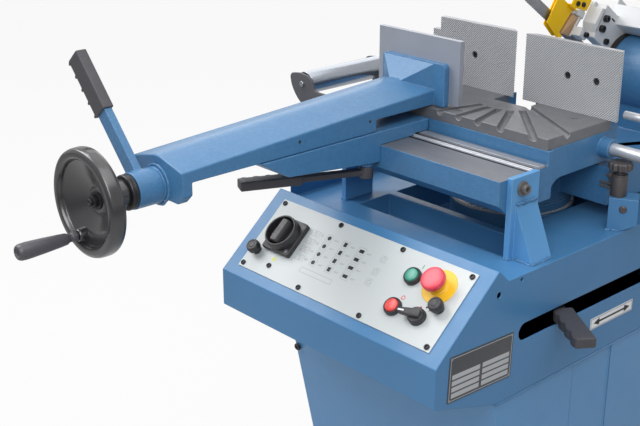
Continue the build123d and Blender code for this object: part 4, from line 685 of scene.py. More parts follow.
def bed_finish():
    """Cast paint with the guide bed machined bright.

    In front of the rail only faces that look straight up lose their paint; the rail is bare all over.
    Across the bed the tone changes in bands, each a step up at its low edge less a step up at its high
    edge: the lip and the highlight line are painted highlights, the shadow line and the groove painted
    shade; the scraped land has fine cross lines, a sine along the bed. The oil slot is painted near black
    as painted shade for its depth."""
    look = finish("casting_with_milled_bed", **CASTING)
    tree = look.node_tree
    surface = tree.nodes["Principled BSDF"]
    at = wire(tree, "ShaderNodeSeparateXYZ", Vector=object_place(tree)).outputs

    def strip(low, high, edge=0.0003):
        """1 between two places across the bed, in millimetres."""
        rise = ramp(tree, at["Y"], low * MM - edge, low * MM + edge)
        return calc(tree, "SUBTRACT", rise, ramp(tree, at["Y"], high * MM - edge, high * MM + edge))

    level = calc(tree, "GREATER_THAN", at["Z"], BED_LEVEL)
    upward = calc(tree, "GREATER_THAN", normal_parts(tree)["Z"], 0.95)
    flat = calc(tree, "MULTIPLY", upward, strip(BED_FRONT, RAIL))
    milled = calc(tree, "MULTIPLY", level, calc(tree, "ADD", flat, strip(RAIL, WALL)))
    # The oil slot is painted near black: painted shade for its depth.
    slot = calc(tree, "MULTIPLY", strip(*OIL_SLOT), calc(tree, "GREATER_THAN", at["Z"], SLOT_LEVEL))
    ruled = use(tree, "tool_lines", Stretch=[14.0, 700.0, 700.0], Depth=1.0)["Shade"]
    steel = mix_tone(tree, calc(tree, "MULTIPLY", ruled, 0.5), tone(140, 142, 148), tone(110, 112, 118))
    teeth = calc(tree, "SINE", calc(tree, "MULTIPLY", at["X"], SCRAPE_LINES))
    shade = ramp(tree, teeth, -1.0, 1.0, 0.0, 0.3)
    scraped = mix_tone(tree, shade, tone(176, 179, 185), tone(128, 131, 137))
    for low, high, colour in BED_BANDS.values():
        steel = mix_tone(tree, strip(low, high), steel, tone(*colour) if colour else scraped)
    paint = surface.inputs["Base Color"].links[0].from_socket
    colour = mix_tone(tree, slot, mix_tone(tree, milled, paint, steel), tone(26, 27, 32))
    tree.links.new(colour, surface.inputs["Base Color"])
    matt = surface.inputs["Roughness"].links[0].from_socket
    tree.links.new(mix_tone(tree, milled, matt, (0.4, 0.4, 0.4, 1.0)), surface.inputs["Roughness"])
    bare = calc(tree, "SUBTRACT", milled, slot)
    tree.links.new(calc(tree, "MULTIPLY", bare, 0.6), surface.inputs["Metallic"])
    painted = calc(tree, "SUBTRACT", 1.0, milled)
    tree.links.new(calc(tree, "MULTIPLY", painted, CASTING["coat"]), surface.inputs["Coat Weight"])
    return look


bed_look = bed_finish()
print("bed finish with", len(BED_BANDS), "bands")

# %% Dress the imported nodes
ROUNDED = {
    "lower_stand": (2.0, stand_blue_painted_light), "upper_housing": (2.2, sheet_blue), "table_posts": (1.2, post_blue_painted_light),
    "turntable_base": (1.0, cast_blue), "swivel_console": (2.5, cast_blue),
    "table_casting": (0.9, bed_look), "vise_bracket": (2.0, cast_blue),
    "quick_clamp_lever": (1.0, cast_blue), "index_stand": (1.0, sheet_blue),
    "table_plate": (1.0, cast_iron), "bow_frame": (2.0, pale_grey), "gearbox": (3.0, pale_grey),
    "wheel_cover": (1.6, pale_grey), "front_guide_arm": (1.2, pale_grey),
    "front_guide_block": (0.8, guide_tan), "front_blade_guard": (0.6, guard_yellow),
    "length_stop": (1.0, dark_steel), "control_panel": (0.5, panel_look), "coolant_tank": (1.0, tank_grey),
}
soft_copies = {node: softened(node, width, look) for node, (width, look) in ROUNDED.items()}
soft_copies["vise_arm"] = softened("vise_arm", 2.6, cast_blue, fine=(-181.0, 0.3))
KEPT = {
    "coolant_pump": tank_grey, "hinge_pin": ground_steel, "drive_wheel": cast_iron,
    "drive_shaft": ground_steel, "idler_wheel": cast_iron, "motor": motor_look,
    "tension_slide": ground_steel, "tension_handwheel": black_plastic, "blade": blade_look,
    "guide_clamp_knob": black_plastic, "bow_handle": black_plastic,
}
for node, look in KEPT.items():
    materials = frame["nodes"][node].data.materials
    materials.clear()
    materials.append(look)
print(len(soft_copies), "rounded copies,", len(KEPT), "nodes with a new finish")

# %% [markdown]
# ## Handwheel, its handle and the vise screw
#
# The wheel is moulded in one piece: a deep rim with a bead and a small parting groove, a shallow dish, and
# a hub held by a nut on the screw's end. It could be built from rings and discs joined together, but one
# turned profile gives all of it without a seam; the boss for the handle and the six-sided nut are added
# beside it. The handle turns on its own stud and widens towards its end.

# %% Handwheel
VISE_X, VISE_Z = -129.0, 894.0
WHEEL = place((VISE_X, 0.0, VISE_Z), (0, 1, 0), (1, 0, 0))
HANDLE = place((-149.8, -811.1, 839.9), (0, -1, 0), (1, 0, 0))


def hexagon(across):
    """Six-sided outline, given its width across flats: corners at that width over the root of three."""
    angle = np.radians(np.arange(6) * 60.0 + 30.0)
    return np.column_stack([np.cos(angle), np.sin(angle)]) * across / math.sqrt(3.0)


wheel_profile = rounded([(6.2, -785.5), (19, -785.5), (20.6, -784.2), (24, -785.2), (60, -800.5),
                         (63.5, -802.4), (64.6, -806.5), (66.2, -809.6), (68.4, -811), (74.6, -811),
                         (79.2, -808.6), (80.6, -803.5), (80.8, -792.5), (79.6, -788.2), (76.5, -786.6),
                         (70, -787), (66, -789.5), (58, -793), (27, -779), (22.5, -775), (21, -764),
                         (21, -742), (8.2, -742)],
                        [0, 0.6, 0.6, 1.5, 3, 1.2, 0.8, 1, 0.9, 1.2, 1.6, 1.4, 1.4, 1.2, 1.2, 2, 3, 3, 4, 3,
                         1, 0.6, 0], 4)
wheel_boss = turned(rounded([(2, -16), (10.5, -16), (10.2, -4), (9, -1.2), (5.2, -1)], 1.2, 3), HANDLE, 32)
piece("handwheel_look", together(turned(wheel_profile, WHEEL, 128), wheel_boss), "screw", glossy_black,
      ["handwheel"])
screw_profile = rounded([(2.0, -796.5), (3.0, -799.4), (4.6, -799.6), (5.6, -798.4), (5.6, -786.5),
                         (8, -785), (8, -741.5), (25.6, -741), (27, -739), (27, -736.9), (25.6, -736.2),
                         (25.6, -735), (27, -734.3), (27, -731), (25.8, -729.3), (8, -729.2), (8, -301),
                         (7, -300)], 0.5, 2)
washer_profile = rounded([(6, -787.6), (13.5, -787.6), (13.5, -785.6), (6, -785.6)], 0.4, 2)
hub_nut = together(slab(hexagon(17.5), -794.2, -787.4, WHEEL, 0.8), turned(washer_profile, WHEEL, 40))
piece("vise_screw_look", together(turned(screw_profile, WHEEL, 64), hub_nut), "screw", dark_steel,
      ["vise_screw"])
print("handwheel of", len(wheel_profile), "profile points")

# %% Handle
grip_profile = rounded(
    [(4.9, -16), (4.9, 5), (7.4, 6), (7.4, 7.5), (6.2, 9), (6.2, 13.5), (8.6, 16.5), (9.8, 30), (11.4, 55),
     (12.6, 80), (12.2, 91), (10, 95.2), (7, 95.6), (6, 92.5), (1.0, 92)], 2.0, 3)
piece("handle_look", together(turned(grip_profile, HANDLE, 48), slab(hexagon(15.0), 0.2, 6.2, HANDLE, 0.7)),
      "handle", grip_plastic, ["handwheel_handle"])
print("handle", len(grip_profile), "profile points")

# %% [markdown]
# ## Lever grips
#
# The quick clamp lever and the two lock levers have moulded sleeves. Sculpting would do, but the ribs are
# even: a rounded outline is carried along the lever, one side swells at each finger rib, and both ends are
# drawn in.


# %% Sleeve maker
def sleeve(where, start, end, wide, deep, radii, swell, waist=0.0, soft=2.0, step=0.9):
    """Grip along the frame's third axis.

    wide and deep are its outline along the first two axes, radii its corner radii, swell(t) how far the
    first axis' positive side stands out at a place t, and waist how much the faces dip in the middle. Both
    ends are drawn in along a quarter circle of radius soft."""
    corners = [(-wide / 2, -deep / 2), (wide / 2, -deep / 2), (wide / 2, deep / 2), (-wide / 2, deep / 2)]
    outline = rounded(corners, radii, 5, closed=True)
    outline[:, 1] *= 1 - waist * np.clip(1 - (2 * outline[:, 0] / wide) ** 2, 0, 1)
    t = np.concatenate([[start, start + 0.3 * soft], np.arange(start + soft, end - soft, step),
                        [end - soft, end - 0.3 * soft, end]])
    edge = np.minimum(t - start, end - t) / soft
    shrink = soft * (1 - np.sqrt(np.clip(1 - (1 - np.clip(edge, 0, 1)) ** 2, 0, 1)))
    side = np.clip(outline[:, 0] / (wide / 2) * 4 - 3, 0, 1)
    rings = []
    for at, amount in zip(t, shrink):
        ring = drawn_in(outline, amount) if amount > 0 else outline.copy()
        ring[:, 0] += side * swell(at)
        rings.append(put(where, np.column_stack([ring, np.full(len(ring), at)])))
    return skin(rings)


def ribs(first, pitch, count, radius, height):
    """Swell of evenly spaced half-round ribs: a quarter-circle rise and fall about each centre."""
    centres = first + pitch * np.arange(count)
    return lambda t: height * np.sqrt(np.clip(1 - (np.min(np.abs(t - centres)) / radius) ** 2, 0, 1))


def plain(t):
    """No swell at any place."""
    return 0.0


print("sleeve maker ready")

# %% Quick clamp lever's grip
lever_turn = math.radians(132.0)
lever_axis = np.array([math.cos(lever_turn), 0.0, math.sin(lever_turn)])
LEVER = place((VISE_X, -708.55, VISE_Z), lever_axis, (-lever_axis[2], 0, lever_axis[0]))
piece("lever_grip_look",
      sleeve(LEVER, 131.0, 232.0, 32.0, 18.5, (3, 2, 2, 3), ribs(134.4, 23.3, 5, 2.4, 4.6), soft=1.4),
      "quick_lever", rubber_grey, ["lever_grip"])
print("grip with five ribs")

# %% Vise lock lever
LOCK_X, LOCK_Y = -80.0, -294.0
lock_run = np.array([-170.0 - LOCK_X, -495.0 - LOCK_Y, 0.0])
lock_reach = np.linalg.norm(lock_run)
LOCK = place((LOCK_X, LOCK_Y, 837.0), lock_run, np.cross(lock_run, (0, 0, 1)))
lock_bar = sleeve(LOCK, -9.0, lock_reach - 100.0, 16.0, 10.0, (2, 2, 2, 2), plain, 0.0, 1.5, 8.0)
lock_sleeve = sleeve(LOCK, lock_reach - 105.0, lock_reach, 26.0, 16.0, (3, 3, 3, 3),
                     ribs(lock_reach - 94.5, 21.0, 5, 4.6, 4.6))
lock_hub = turned(rounded([(3, 827), (12, 827), (12, 846.8), (6, 846.9), (6, 861.5), (3, 862)], 1.0, 3),
                  place((LOCK_X, LOCK_Y, 0.0), (0, 0, 1), (1, 0, 0)), 36)
piece("vise_lock_look", together(lock_bar, lock_sleeve, lock_hub), "vise_lever", rubber_grey,
      ["vise_lock_lever"])
print("lock lever of", round(lock_reach), "mm")

# %% Mitre lock lever
GRIP_START, GRIP_END = 300.0, 412.0
FINGER_PITCH = 28.0
swing = math.radians(-34.53)
mitre_axis = np.array([math.cos(swing), math.sin(swing), 0.0])
MITRE = place((0, 0, 651.5), mitre_axis, (math.sin(swing), -math.cos(swing), 0))


def fingers(t):
    """Finger hollows: the size of a sine, one half wave for each finger."""
    return 4.5 * abs(math.sin(math.pi * (t - GRIP_START) / FINGER_PITCH)) - 2.5


mitre_bar = sleeve(MITRE, 10.0, GRIP_START + 4.0, 18.0, 8.0, (1.5, 1.5, 1.5, 1.5), plain, 0.0, 1.0, 12.0)
mitre_grip = sleeve(MITRE, GRIP_START, GRIP_END, 34.0, 19.0, (5, 4, 4, 5), fingers, 0.16, 3.0, 1.2)
hub_profile = rounded([(4, 639.5), (26, 639.5), (26, 663.5), (10, 664), (10, 736), (4, 737)], 1.5, 3)
mitre_hub = turned(hub_profile, WORLD, 48)
piece("mitre_lever_look", together(mitre_bar, mitre_grip, mitre_hub), "mitre_lever", rubber_grey,
      ["mitre_lock_lever"])
print("mitre lever with", round((GRIP_END - GRIP_START) / FINGER_PITCH), "finger hollows")

# %% [markdown]
# ## Controls on the panel
#
# Push buttons have a black ring and a slightly domed cap; the mushroom stands on a yellow neck and disc.
# The main switch is a square base with a round guard ring and a grip bar. They could be made upright and
# then turned into place; each is turned or raised in a frame of its own on the sloping face instead, so it
# lines up with the hole behind it and its object stays at the origin.

# %% Frames on the sloping face
PLATE = 2.0
PANEL = (np.array([-250.0, -474.0, 657.0]), np.array([1.0, 0, 0]), np.array([0, 0.7558, 0.6550]),
         np.array([0, -0.6550, 0.7558]))


def on_panel(x, s, height=PLATE):
    """Frame on the sloping face, at x from its left side and s up the slope."""
    return put(PANEL, [x, s, height]), PANEL[1], PANEL[2], PANEL[3]


START, STOP, ESTOP = on_panel(370, 118), on_panel(370, 61), on_panel(423, 119.5)
SELECT, SPEED, LEFT, MAIN = on_panel(420, 62), on_panel(446, 87), on_panel(48, 56), on_panel(91, 97)
print("panel frame, plate", PLATE, "mm thick")

# %% Buttons
ring_profile = rounded([(14.8, 0), (15, 5.2), (13.8, 8.6), (12.3, 8.6), (11.9, 5), (2, 5)], 0.8, 3)
cap_profile = rounded([(11.4, 4.6), (11.4, 9.2), (9.8, 10.7), (6, 11.3), (0.8, 11.5)], 0.8, 3)
low_ring = rounded([(14.6, 0), (14.6, 3.2), (13.6, 4), (3.2, 4)], 0.6, 3)
bush = rounded([(8, 0), (8, 1.6), (7.2, 2), (3.1, 2)], 0.4, 2)
rings = [turned(ring_profile, START), turned(ring_profile, STOP), turned(low_ring, SELECT),
         turned(bush, SPEED, 32), turned(bush, LEFT, 32)]
piece("bezel_rings", together(*rings), "stand", black_plastic, ["switch_bezels"])
piece("start_cap", turned(cap_profile, START), "start", green_cap, ["start_button"])
piece("stop_cap", turned(cap_profile, STOP), "stop", red_cap, ["stop_button"])
collar = rounded([(30, 0), (30, 1.0), (29.3, 1.5), (16, 1.6), (15, 3.2), (13, 4.6), (12.6, 11.2),
                  (11.5, 12), (8.2, 12)], 0.5, 3)
piece("stop_disc", turned(collar, ESTOP, 72), "stand", stop_yellow, ["estop_collar"])
mushroom = rounded([(7.8, 5), (7.8, 16.3), (11, 16.6), (17.5, 17.1), (19.8, 19.2), (20, 26.6), (18, 29.4),
                    (11, 30.4), (0.8, 30.8)], [0, 0.1, 1, 2, 2, 3, 3, 3, 0], 4)
piece("mushroom", turned(mushroom, ESTOP, 72), "estop", stop_red, ["estop_button"])
print("push buttons and mushroom")


# %% Knobs and selector
def facets(count, depth, low, high):
    """Ripple that flattens a knob's skirt between two heights: a cosine of the angle."""

    def ripple(angle, height):
        """Share of the radius that is left."""
        return 1 - depth * (1 - np.cos(count * angle)) / 2 * ((height > low) & (height < high))

    return ripple


knob_profile = rounded([(3, -8), (3, 2.2), (8, 2.3), (8, 6.4), (11.4, 8), (12.2, 12), (11.6, 18.2),
                        (10.2, 20.2), (8.2, 20.4), (7.6, 19.4), (5.6, 19.4), (5.0, 20.2), (0.8, 20.4)],
                       0.7, 3)
for name, where, node, body in (("speed_knob_look", SPEED, "speed_knob", "speed"),
                                ("left_knob_look", LEFT, "left_knob", "panel_knob")):
    piece(name, turned(knob_profile, where, 60, facets(10, 0.035, 9, 17)), body, black_plastic,
          [node])
pointer = math.radians(191.0)
BAR = (SELECT[0], math.cos(pointer) * SELECT[1] + math.sin(pointer) * SELECT[2],
       -math.sin(pointer) * SELECT[1] + math.cos(pointer) * SELECT[2], SELECT[3])
lever_outline = rounded([(-12, -6.5), (8, -6.5), (29, -4.2), (29, 4.2), (8, 6.5), (-12, 6.5)],
                        [5, 6, 3.5, 3.5, 6, 5], 5, closed=True)
skirt_profile = rounded([(3, -8), (3, 4.1), (14, 4.1), (14, 9), (12.6, 11), (2, 11.4)], 0.8, 3)
selector = together(turned(skirt_profile, SELECT), slab(lever_outline, 9.0, 18.0, BAR, 1.6))
piece("selector_look", selector, "selector", black_plastic, ["selector_knob"])
mark = slab(rectangle(11, 2.6, 0.6) + np.array([22.0, 0]), 17.9, 18.15, BAR, 0.1)
piece("selector_mark", mark, "selector", label_white)
print("knobs and selector")

# %% Main switch
base = slab(rectangle(66, 66, 5.0, 5), 0, 10.0, MAIN, 1.6)
guard_profile = rounded([(24, 9), (31, 9), (30.4, 24), (29.4, 26), (27.2, 26), (26.3, 24), (26.2, 12)],
                        0.7, 3)
guard = turned(guard_profile, MAIN, 72)
base_screw = turned([(3.4, 9.5), (3.4, 10.4), (2.2, 10.8), (2.0, 10.2), (0.6, 10.2)],
                    (put(MAIN, [25, -25, 0]), *MAIN[1:]), 24)
piece("main_switch_body", together(base, guard), "stand", black_plastic,
      ["main_switch_base"])
piece("main_switch_screw", base_screw, "stand", ground_steel)
dial_profile = rounded([(3, -8), (3, 10.2), (25.9, 10.2), (25.9, 14.2), (24.6, 15.2), (2, 15.2)], 0.5, 3)
dial_disc = turned(dial_profile, MAIN, 64)
grip_lines = [(15.0, 23.0, 12.0), (22.0, 22.6, 10.6), (27.0, 22.0, 7.6), (29.0, 20.5, 5.8)]
grip_rings = [put(MAIN, np.column_stack([rectangle(2 * w, 2 * l, 3.0, 4), np.full(20, h)]))
              for h, l, w in grip_lines]
piece("main_switch_grip", together(dial_disc, skin(grip_rings)), "main_switch", black_plastic,
      ["main_switch_dial"])
print("main switch")

# %% Panel screws
screw_head = [(4.6, 0), (4.6, 1.7), (4.2, 2.5), (3.2, 3.0), (2.5, 3.05), (2.4, 1.0), (0.5, 0.9)]
screw_places = [(x, s) for x in (36.75, 179.08, 321.42, 464.75) for s in (26.25, 153.75)] + [(93.0, 39.5)]
heads = [turned(screw_head, on_panel(x, s), 30) for x, s in screw_places]
piece("panel_screw_heads", together(*heads), "stand", dark_steel, ["panel_screws"])
print(len(heads), "screws")

# %% [markdown]
# ## Jaws
#
# The jaw plates are milled with two families of crossing grooves, which leave small pyramids that bite the
# bar. The cutter runs out over the rim, so the edges look toothed. A bump would leave the rim straight, so
# a fine grid of points holds the relief: four steps to each groove, which is just enough to carry a
# pyramid's top and valleys.


# %% Knurled plates
def knurled(x0, x1, z0, z1, face, back, holes, back_x, notch=None, relief=1.7, pitch=4.4, hole_radius=6.3,
            sink=5.0):
    """Plate with pyramids on the side `face`, flat on the side `back`.

    The height above the valleys is a triangle wave of x - z, cut lower where a second one of x + z is low,
    so that the ridges run on one slant and are notched on the other.
    Grid cells inside a hole or the notch are left out; every open rim is then closed: the outer one
    by walls and a back that spans back_x, the holes by a cup."""
    columns, rows = 4 * round((x1 - x0) / pitch), 4 * round((z1 - z0) / pitch)
    i, k = np.meshgrid(np.arange(columns + 1), np.arange(rows + 1), indexing="ij")
    wave = [1 - np.abs(2 * ((i + sign * k) / 4 % 1) - 1) for sign in (1, -1)]
    inward = np.sign(back - face)
    x = x0 + (x1 - x0) * i / columns
    z = z0 + (z1 - z0) * k / rows
    y = face + inward * relief * (1 - wave[1] * (0.84 + 0.16 * wave[0]))
    keep = np.ones((columns, rows), bool)
    middle_x, middle_z = x[:-1, :-1] + (x[1, 0] - x0) / 2, z[:-1, :-1] + (z[0, 1] - z0) / 2
    if notch:
        keep &= ~((middle_x < x0 + notch[0]) & (middle_z > z1 - notch[1]))
    for hole_x, hole_z in holes:
        away = np.hypot(x - hole_x, z - hole_z)
        inside = away < hole_radius
        keep &= ~(inside[:-1, :-1] & inside[1:, :-1] & inside[:-1, 1:] & inside[1:, 1:])
        scale = np.where(inside, hole_radius / np.maximum(away, 0.01), 1.0)
        x = hole_x + (x - hole_x) * scale
        z = hole_z + (z - hole_z) * scale
    index = np.arange(x.size).reshape(x.shape)
    cells = np.stack([index[:-1, :-1], index[1:, :-1], index[1:, 1:], index[:-1, 1:]], -1)[keep]
    points = np.stack([x, y, z], -1).reshape(-1, 3)
    faces = cells.tolist()
    edges = np.concatenate([np.stack([cells[:, n], cells[:, (n + 1) % 4]], -1) for n in range(4)])
    pairs = set(map(tuple, edges.tolist()))
    after = {a: b for a, b in pairs if (b, a) not in pairs}
    while after:
        loop = [next(iter(after))]
        while after[loop[-1]] != loop[0]:
            loop.append(after[loop[-1]])
        for corner in loop:
            del after[corner]
        outer = len(loop) > columns
        rim = points[loop].copy()
        rim[:, 1] = back if outer else face + inward * sink
        if outer:
            rim[:, 0] = np.interp(rim[:, 0], (x0, x1), back_x)
        start = len(points)
        points = np.concatenate([points, rim])
        count = len(loop)
        faces += [[loop[n], start + n, start + (n + 1) % count, loop[(n + 1) % count]]
                  for n in range(count)]
        faces.append(list(range(start, start + count)))
    used = np.unique(np.concatenate([np.ravel(f) for f in faces]))
    lookup = dict(zip(used.tolist(), range(len(used))))
    return points[used], [[lookup[n] for n in face] for face in faces]


print("knurl maker ready")

# %% Finish of the knurl, with painted shade in the valleys and on the top faces
knurl_look = finish("knurled_jaw_steel", (214, 216, 220), 0.46, metal=0.25, cloud=(12.0, 0.03))
tree = knurl_look.node_tree
# Valleys darkened by their depth behind the face: painted shade in the hollows.
depth = wire(tree, "ShaderNodeSeparateXYZ", Vector=object_place(tree)).outputs["Y"]
shade = ramp(tree, depth, 0.0004, 0.0017)
painted_valley_shade = calc(tree, "MULTIPLY", shade, calc(tree, "LESS_THAN", depth, 0.0018))
bare = tree.nodes["Principled BSDF"].inputs["Base Color"]
valley_shaded_steel = mix_tone(tree, calc(tree, "MULTIPLY", painted_valley_shade, 0.92), bare.links[0].from_socket, tone(76, 78, 84))
# Faces that look up are made darker: painted shade on the tops.
painted_top_shade = ramp(tree, normal_parts(tree)["Z"], 0.75, 0.95)
tree.links.new(mix_tone(tree, calc(tree, "MULTIPLY", painted_top_shade, 0.8), valley_shaded_steel, tone(148, 150, 156)), bare)
print("finish", knurl_look.name)

# %% Jaw plates
RIGHT_SCREWS, LEFT_SCREWS = (101.0, 159.0), (-103.0, -160.0)
SCREW_Z, MOVING_SCREW_Z = 986.0, 966.0
JAW_LOW, JAW_TOP = 925.5, 1043.0
right_jaw = knurled(10.0, 205.0, JAW_LOW, JAW_TOP, 0.0, 14.0, [(x, SCREW_Z) for x in RIGHT_SCREWS],
                    (24.0, 199.0))
left_jaw = knurled(-205.0, -10.0, JAW_LOW, JAW_TOP, 0.0, 14.0, [(x, SCREW_Z) for x in LEFT_SCREWS],
                   (-205.0, -24.0), (18.0, 24.0))
piece("fixed_jaws_look", together(left_jaw, right_jaw), "stand", knurl_look, ["fixed_jaws"],
      crisp=20.0)
moving = knurled(-211.0, -21.0, 931.0, JAW_TOP, -124.0, -135.0, [(x, MOVING_SCREW_Z) for x in LEFT_SCREWS],
                 (-211.0, -21.0))
piece("moving_jaw_look", moving, "vise", jaw_back, ["moving_jaw"], crisp=20.0)
print("jaw relief:", len(left_jaw[0]) + len(right_jaw[0]), "points")

# %% [markdown]
# ## Fasteners of the table
#
# Socket screws: a turned head with a six-sided socket. The post bolts sit on thick washers; the jaw screws
# lie in their counterbores. Cutting the socket with a solid operation would leave long thin faces, so the
# head's last rings simply run down into a six-sided hole.


# %% Socket screws
def socket_screw(where, head, height, socket, shank, length):
    """Cap screw whose head stands on the frame's plane.

    The socket is a six-sided ring inside the head: its radius is half its width over the cosine of the
    angle from the nearest flat."""
    ring = rounded([(shank, -length), (shank, 0), (head, 0), (head, height - 0.2), (head - 0.7, height),
                    (socket * 1.22, height)], [0, 0, 0.3, 0.4, 0.4, 0], 2)
    body = np.asarray(turned(ring, where, 36)[0]).reshape(-1, 36, 3)
    angle = angles(36)
    six = socket / np.cos((angle + np.pi / 6) % (np.pi / 3) - np.pi / 6)
    mouth = [put(where, np.column_stack([six * np.cos(angle), six * np.sin(angle), np.full(36, level)]))
             for level in (height - 0.3, height * 0.45)]
    return skin(np.concatenate([body, mouth]))


def hoop(inner, outer, low, high, where, soft=0.5, count=40):
    """Flat ring with softened rims: a rectangle of (radius, height) turned about the frame's third axis."""
    rim = rounded([(inner, low), (outer, low), (outer, high), (inner, high)], soft, 2, closed=True)
    angle = angles(count)
    radius, height = rim[:, :1], rim[:, 1:] * np.ones(count)
    grid = np.stack([radius * np.cos(angle), radius * np.sin(angle), height], -1)
    return skin(put(where, grid), loop=True)


print("screw and washer makers ready")

# %% Post bolts and jaw screws
WASHER = 3.0
post_bolts, bolts = [], []
for x, out in ((200.0, 1.0), (-177.0, -1.0)):
    seat = place((x, -233.0, 866.0), (out, 0, 0), (0, 1, 0))
    above = place((x + WASHER * out, -233.0, 866.0), (out, 0, 0), (0, 1, 0))
    post_bolts += [hoop(5.2, 12.0, 0.0, WASHER, seat), socket_screw(above, 8.0, 8.0, 4.0, 4.9, 25.0)]
for x in RIGHT_SCREWS + LEFT_SCREWS:
    bolts.append(socket_screw(place((x, 4.9, SCREW_Z), (0, -1, 0), (1, 0, 0)), 5.6, 3.0, 2.9, 2.9, 8.0))
piece("jaw_screws", together(*bolts), "stand", dark_steel, ["table_fasteners"])
piece("post_bolts", together(*post_bolts), "stand", aged_steel)
print(len(bolts) + len(post_bolts), "fasteners and washers")

# %% [markdown]
# ## Infeed roller
#
# A chromed tube with turned end rims on a bright axle, between two plates cut from thick black sheet. The
# plates stand out to the left in a round nose and run back to the table as flat bars. One profile turned
# about the axle gives the tube with its hollow ends, and one outline raised twice gives both plates.

# %% Roller and its plates
AXLE = place((-395.0, 0.0, 904.0), (0, 1, 0), (1, 0, 0))
FRONTWARD = place((0, 0, 0), (0, -1, 0), (1, 0, 0))
tube = rounded([(8.1, -145), (18.6, -145), (19.4, -149.6), (20.4, -150), (21.5, -150), (22, -149.2),
                (22, 45.2), (21.5, 46), (20.4, 46), (19.4, 45.6), (18.6, 41), (8.1, 41)], 0.4, 2)
piece("roller_tube", turned(tube, AXLE, 96), "roller", roller_steel, ["infeed_roller"])
plate = rounded([(-398, 863), (-186.5, 862), (-186.5, 894), (-354, 894), (-363, 896), (-369, 913),
                 (-379, 921), (-401, 924), (-427, 920), (-431, 913), (-427, 896), (-419, 883), (-410, 873)],
                [8, 0.5, 0.5, 6, 4, 8, 8, 10, 4, 4, 10, 8, 10], 5, closed=True)
plates = [slab(plate, low, low + 6.0, FRONTWARD, 0.7) for low in (151.0, -53.0)]
wall = slab(rectangle(6.0, 197.0) + np.array([-189.0, -52.0]), 862.0, 894.0, WORLD, 0.7)
piece("roller_plates", together(*plates, wall), "stand", plate_black, ["roller_frame"])
axle = rounded([(1.0, -161), (4.8, -161), (5.6, -160), (5.6, -156), (7.8, -155.5), (7.8, 51.5), (5.6, 52),
                (5.6, 56), (4.8, 57), (1.0, 57)], 0.3, 2)
piece("roller_axle", turned(axle, AXLE, 40), "stand", ground_steel)
print("roller", len(tube), "profile points")

# %% [markdown]
# ## Stop rods
#
# Two drawn bars carry the length stop. A plain cylinder would look cut off, so each is a turned profile: a
# faced end with a chamfer and a small centre hole.

# %% Stop rods
rods = []
for y, z, radius, start in ((-4.0, 881.0, 10.5, 176.0), (26.0, 934.0, 7.0, 203.8)):
    end = rounded([(0.5, start), (radius, start), (radius, 468.5), (radius - 1.5, 470.0), (2.6, 470.0),
                   (1.2, 467.0), (0.3, 466.8)], [0, 0.4, 0.4, 0.4, 0.2, 0.2, 0], 2)
    rods.append(turned(end, place((0.0, y, z), (1, 0, 0), (0, 1, 0)), 64))
piece("stop_rods_look", together(*rods), "stand", bright_rod, ["stop_rods"])
print(len(rods), "rods")

# %% [markdown]
# ## Printed and engraved marks
#
# Marks are thin ribbons along strokes: lines, rings and plain figures. On the mitre scale they stand for
# engraved and blackened cuts, on the panel for screen print. A ribbon keeps a sharp edge at any distance.


# %% Stroke tools
FIGURES = {
    "0": [(0.5, 0), (0.12, 0.25), (0, 0.8), (0.12, 1.35), (0.5, 1.6), (0.88, 1.35), (1, 0.8), (0.88, 0.25),
          (0.5, 0)],
    "1": [(0.2, 1.2), (0.6, 1.6), (0.6, 0)],
    "2": [(0, 1.25), (0.18, 1.52), (0.5, 1.6), (0.86, 1.48), (0.98, 1.15), (0.8, 0.8), (0, 0), (1, 0)],
    "3": [(0.05, 1.4), (0.5, 1.6), (0.92, 1.35), (0.86, 1.0), (0.45, 0.86), (0.92, 0.66), (0.95, 0.25),
          (0.5, 0), (0.05, 0.2)],
    "4": [(0.75, 0), (0.75, 1.6), (0, 0.45), (1, 0.45)],
    "5": [(0.92, 1.6), (0.16, 1.6), (0.08, 0.88), (0.5, 1.0), (0.88, 0.84), (1, 0.5), (0.85, 0.15),
          (0.5, 0), (0.05, 0.14)],
    "6": [(0.85, 1.5), (0.5, 1.6), (0.14, 1.25), (0, 0.5), (0.18, 0.08), (0.5, 0), (0.85, 0.1), (1, 0.45),
          (0.85, 0.8), (0.5, 0.92), (0.08, 0.66)],
}


def ribbon(line, width, low, high, where):
    """Flat strip along a line of (x, y): half the width to each side, square to the line's direction."""
    line = np.asarray(line, float)
    along = np.gradient(line, axis=0)
    along /= np.linalg.norm(along, axis=1)[:, None]
    side = np.column_stack([-along[:, 1], along[:, 0]]) * width / 2
    rings = [[(*(p + s), low), (*(p - s), low), (*(p - s), high), (*(p + s), high)]
             for p, s in zip(line, side)]
    return skin(put(where, np.array(rings)))


def ringed(radius, width, low, high, where, count=32):
    """Flat ring: a ribbon along a circle."""
    angle = np.linspace(0, 2 * np.pi, count + 1)
    return ribbon(np.column_stack([np.cos(angle), np.sin(angle)]) * radius, width, low, high, where)


def figures(text, height, width, where, low, high):
    """Plain numbers, centred on the frame: strokes scaled to the height, set 1.4 of their width apart."""
    size = height / 1.6
    start = -0.5 * size * (1.4 * len(text) - 0.4)
    return [ribbon(np.array(FIGURES[sign]) * size + np.array([start + 1.4 * size * n, -height / 2]), width,
                   low, high, where) for n, sign in enumerate(text)]


print("strokes for", len(FIGURES), "figures")

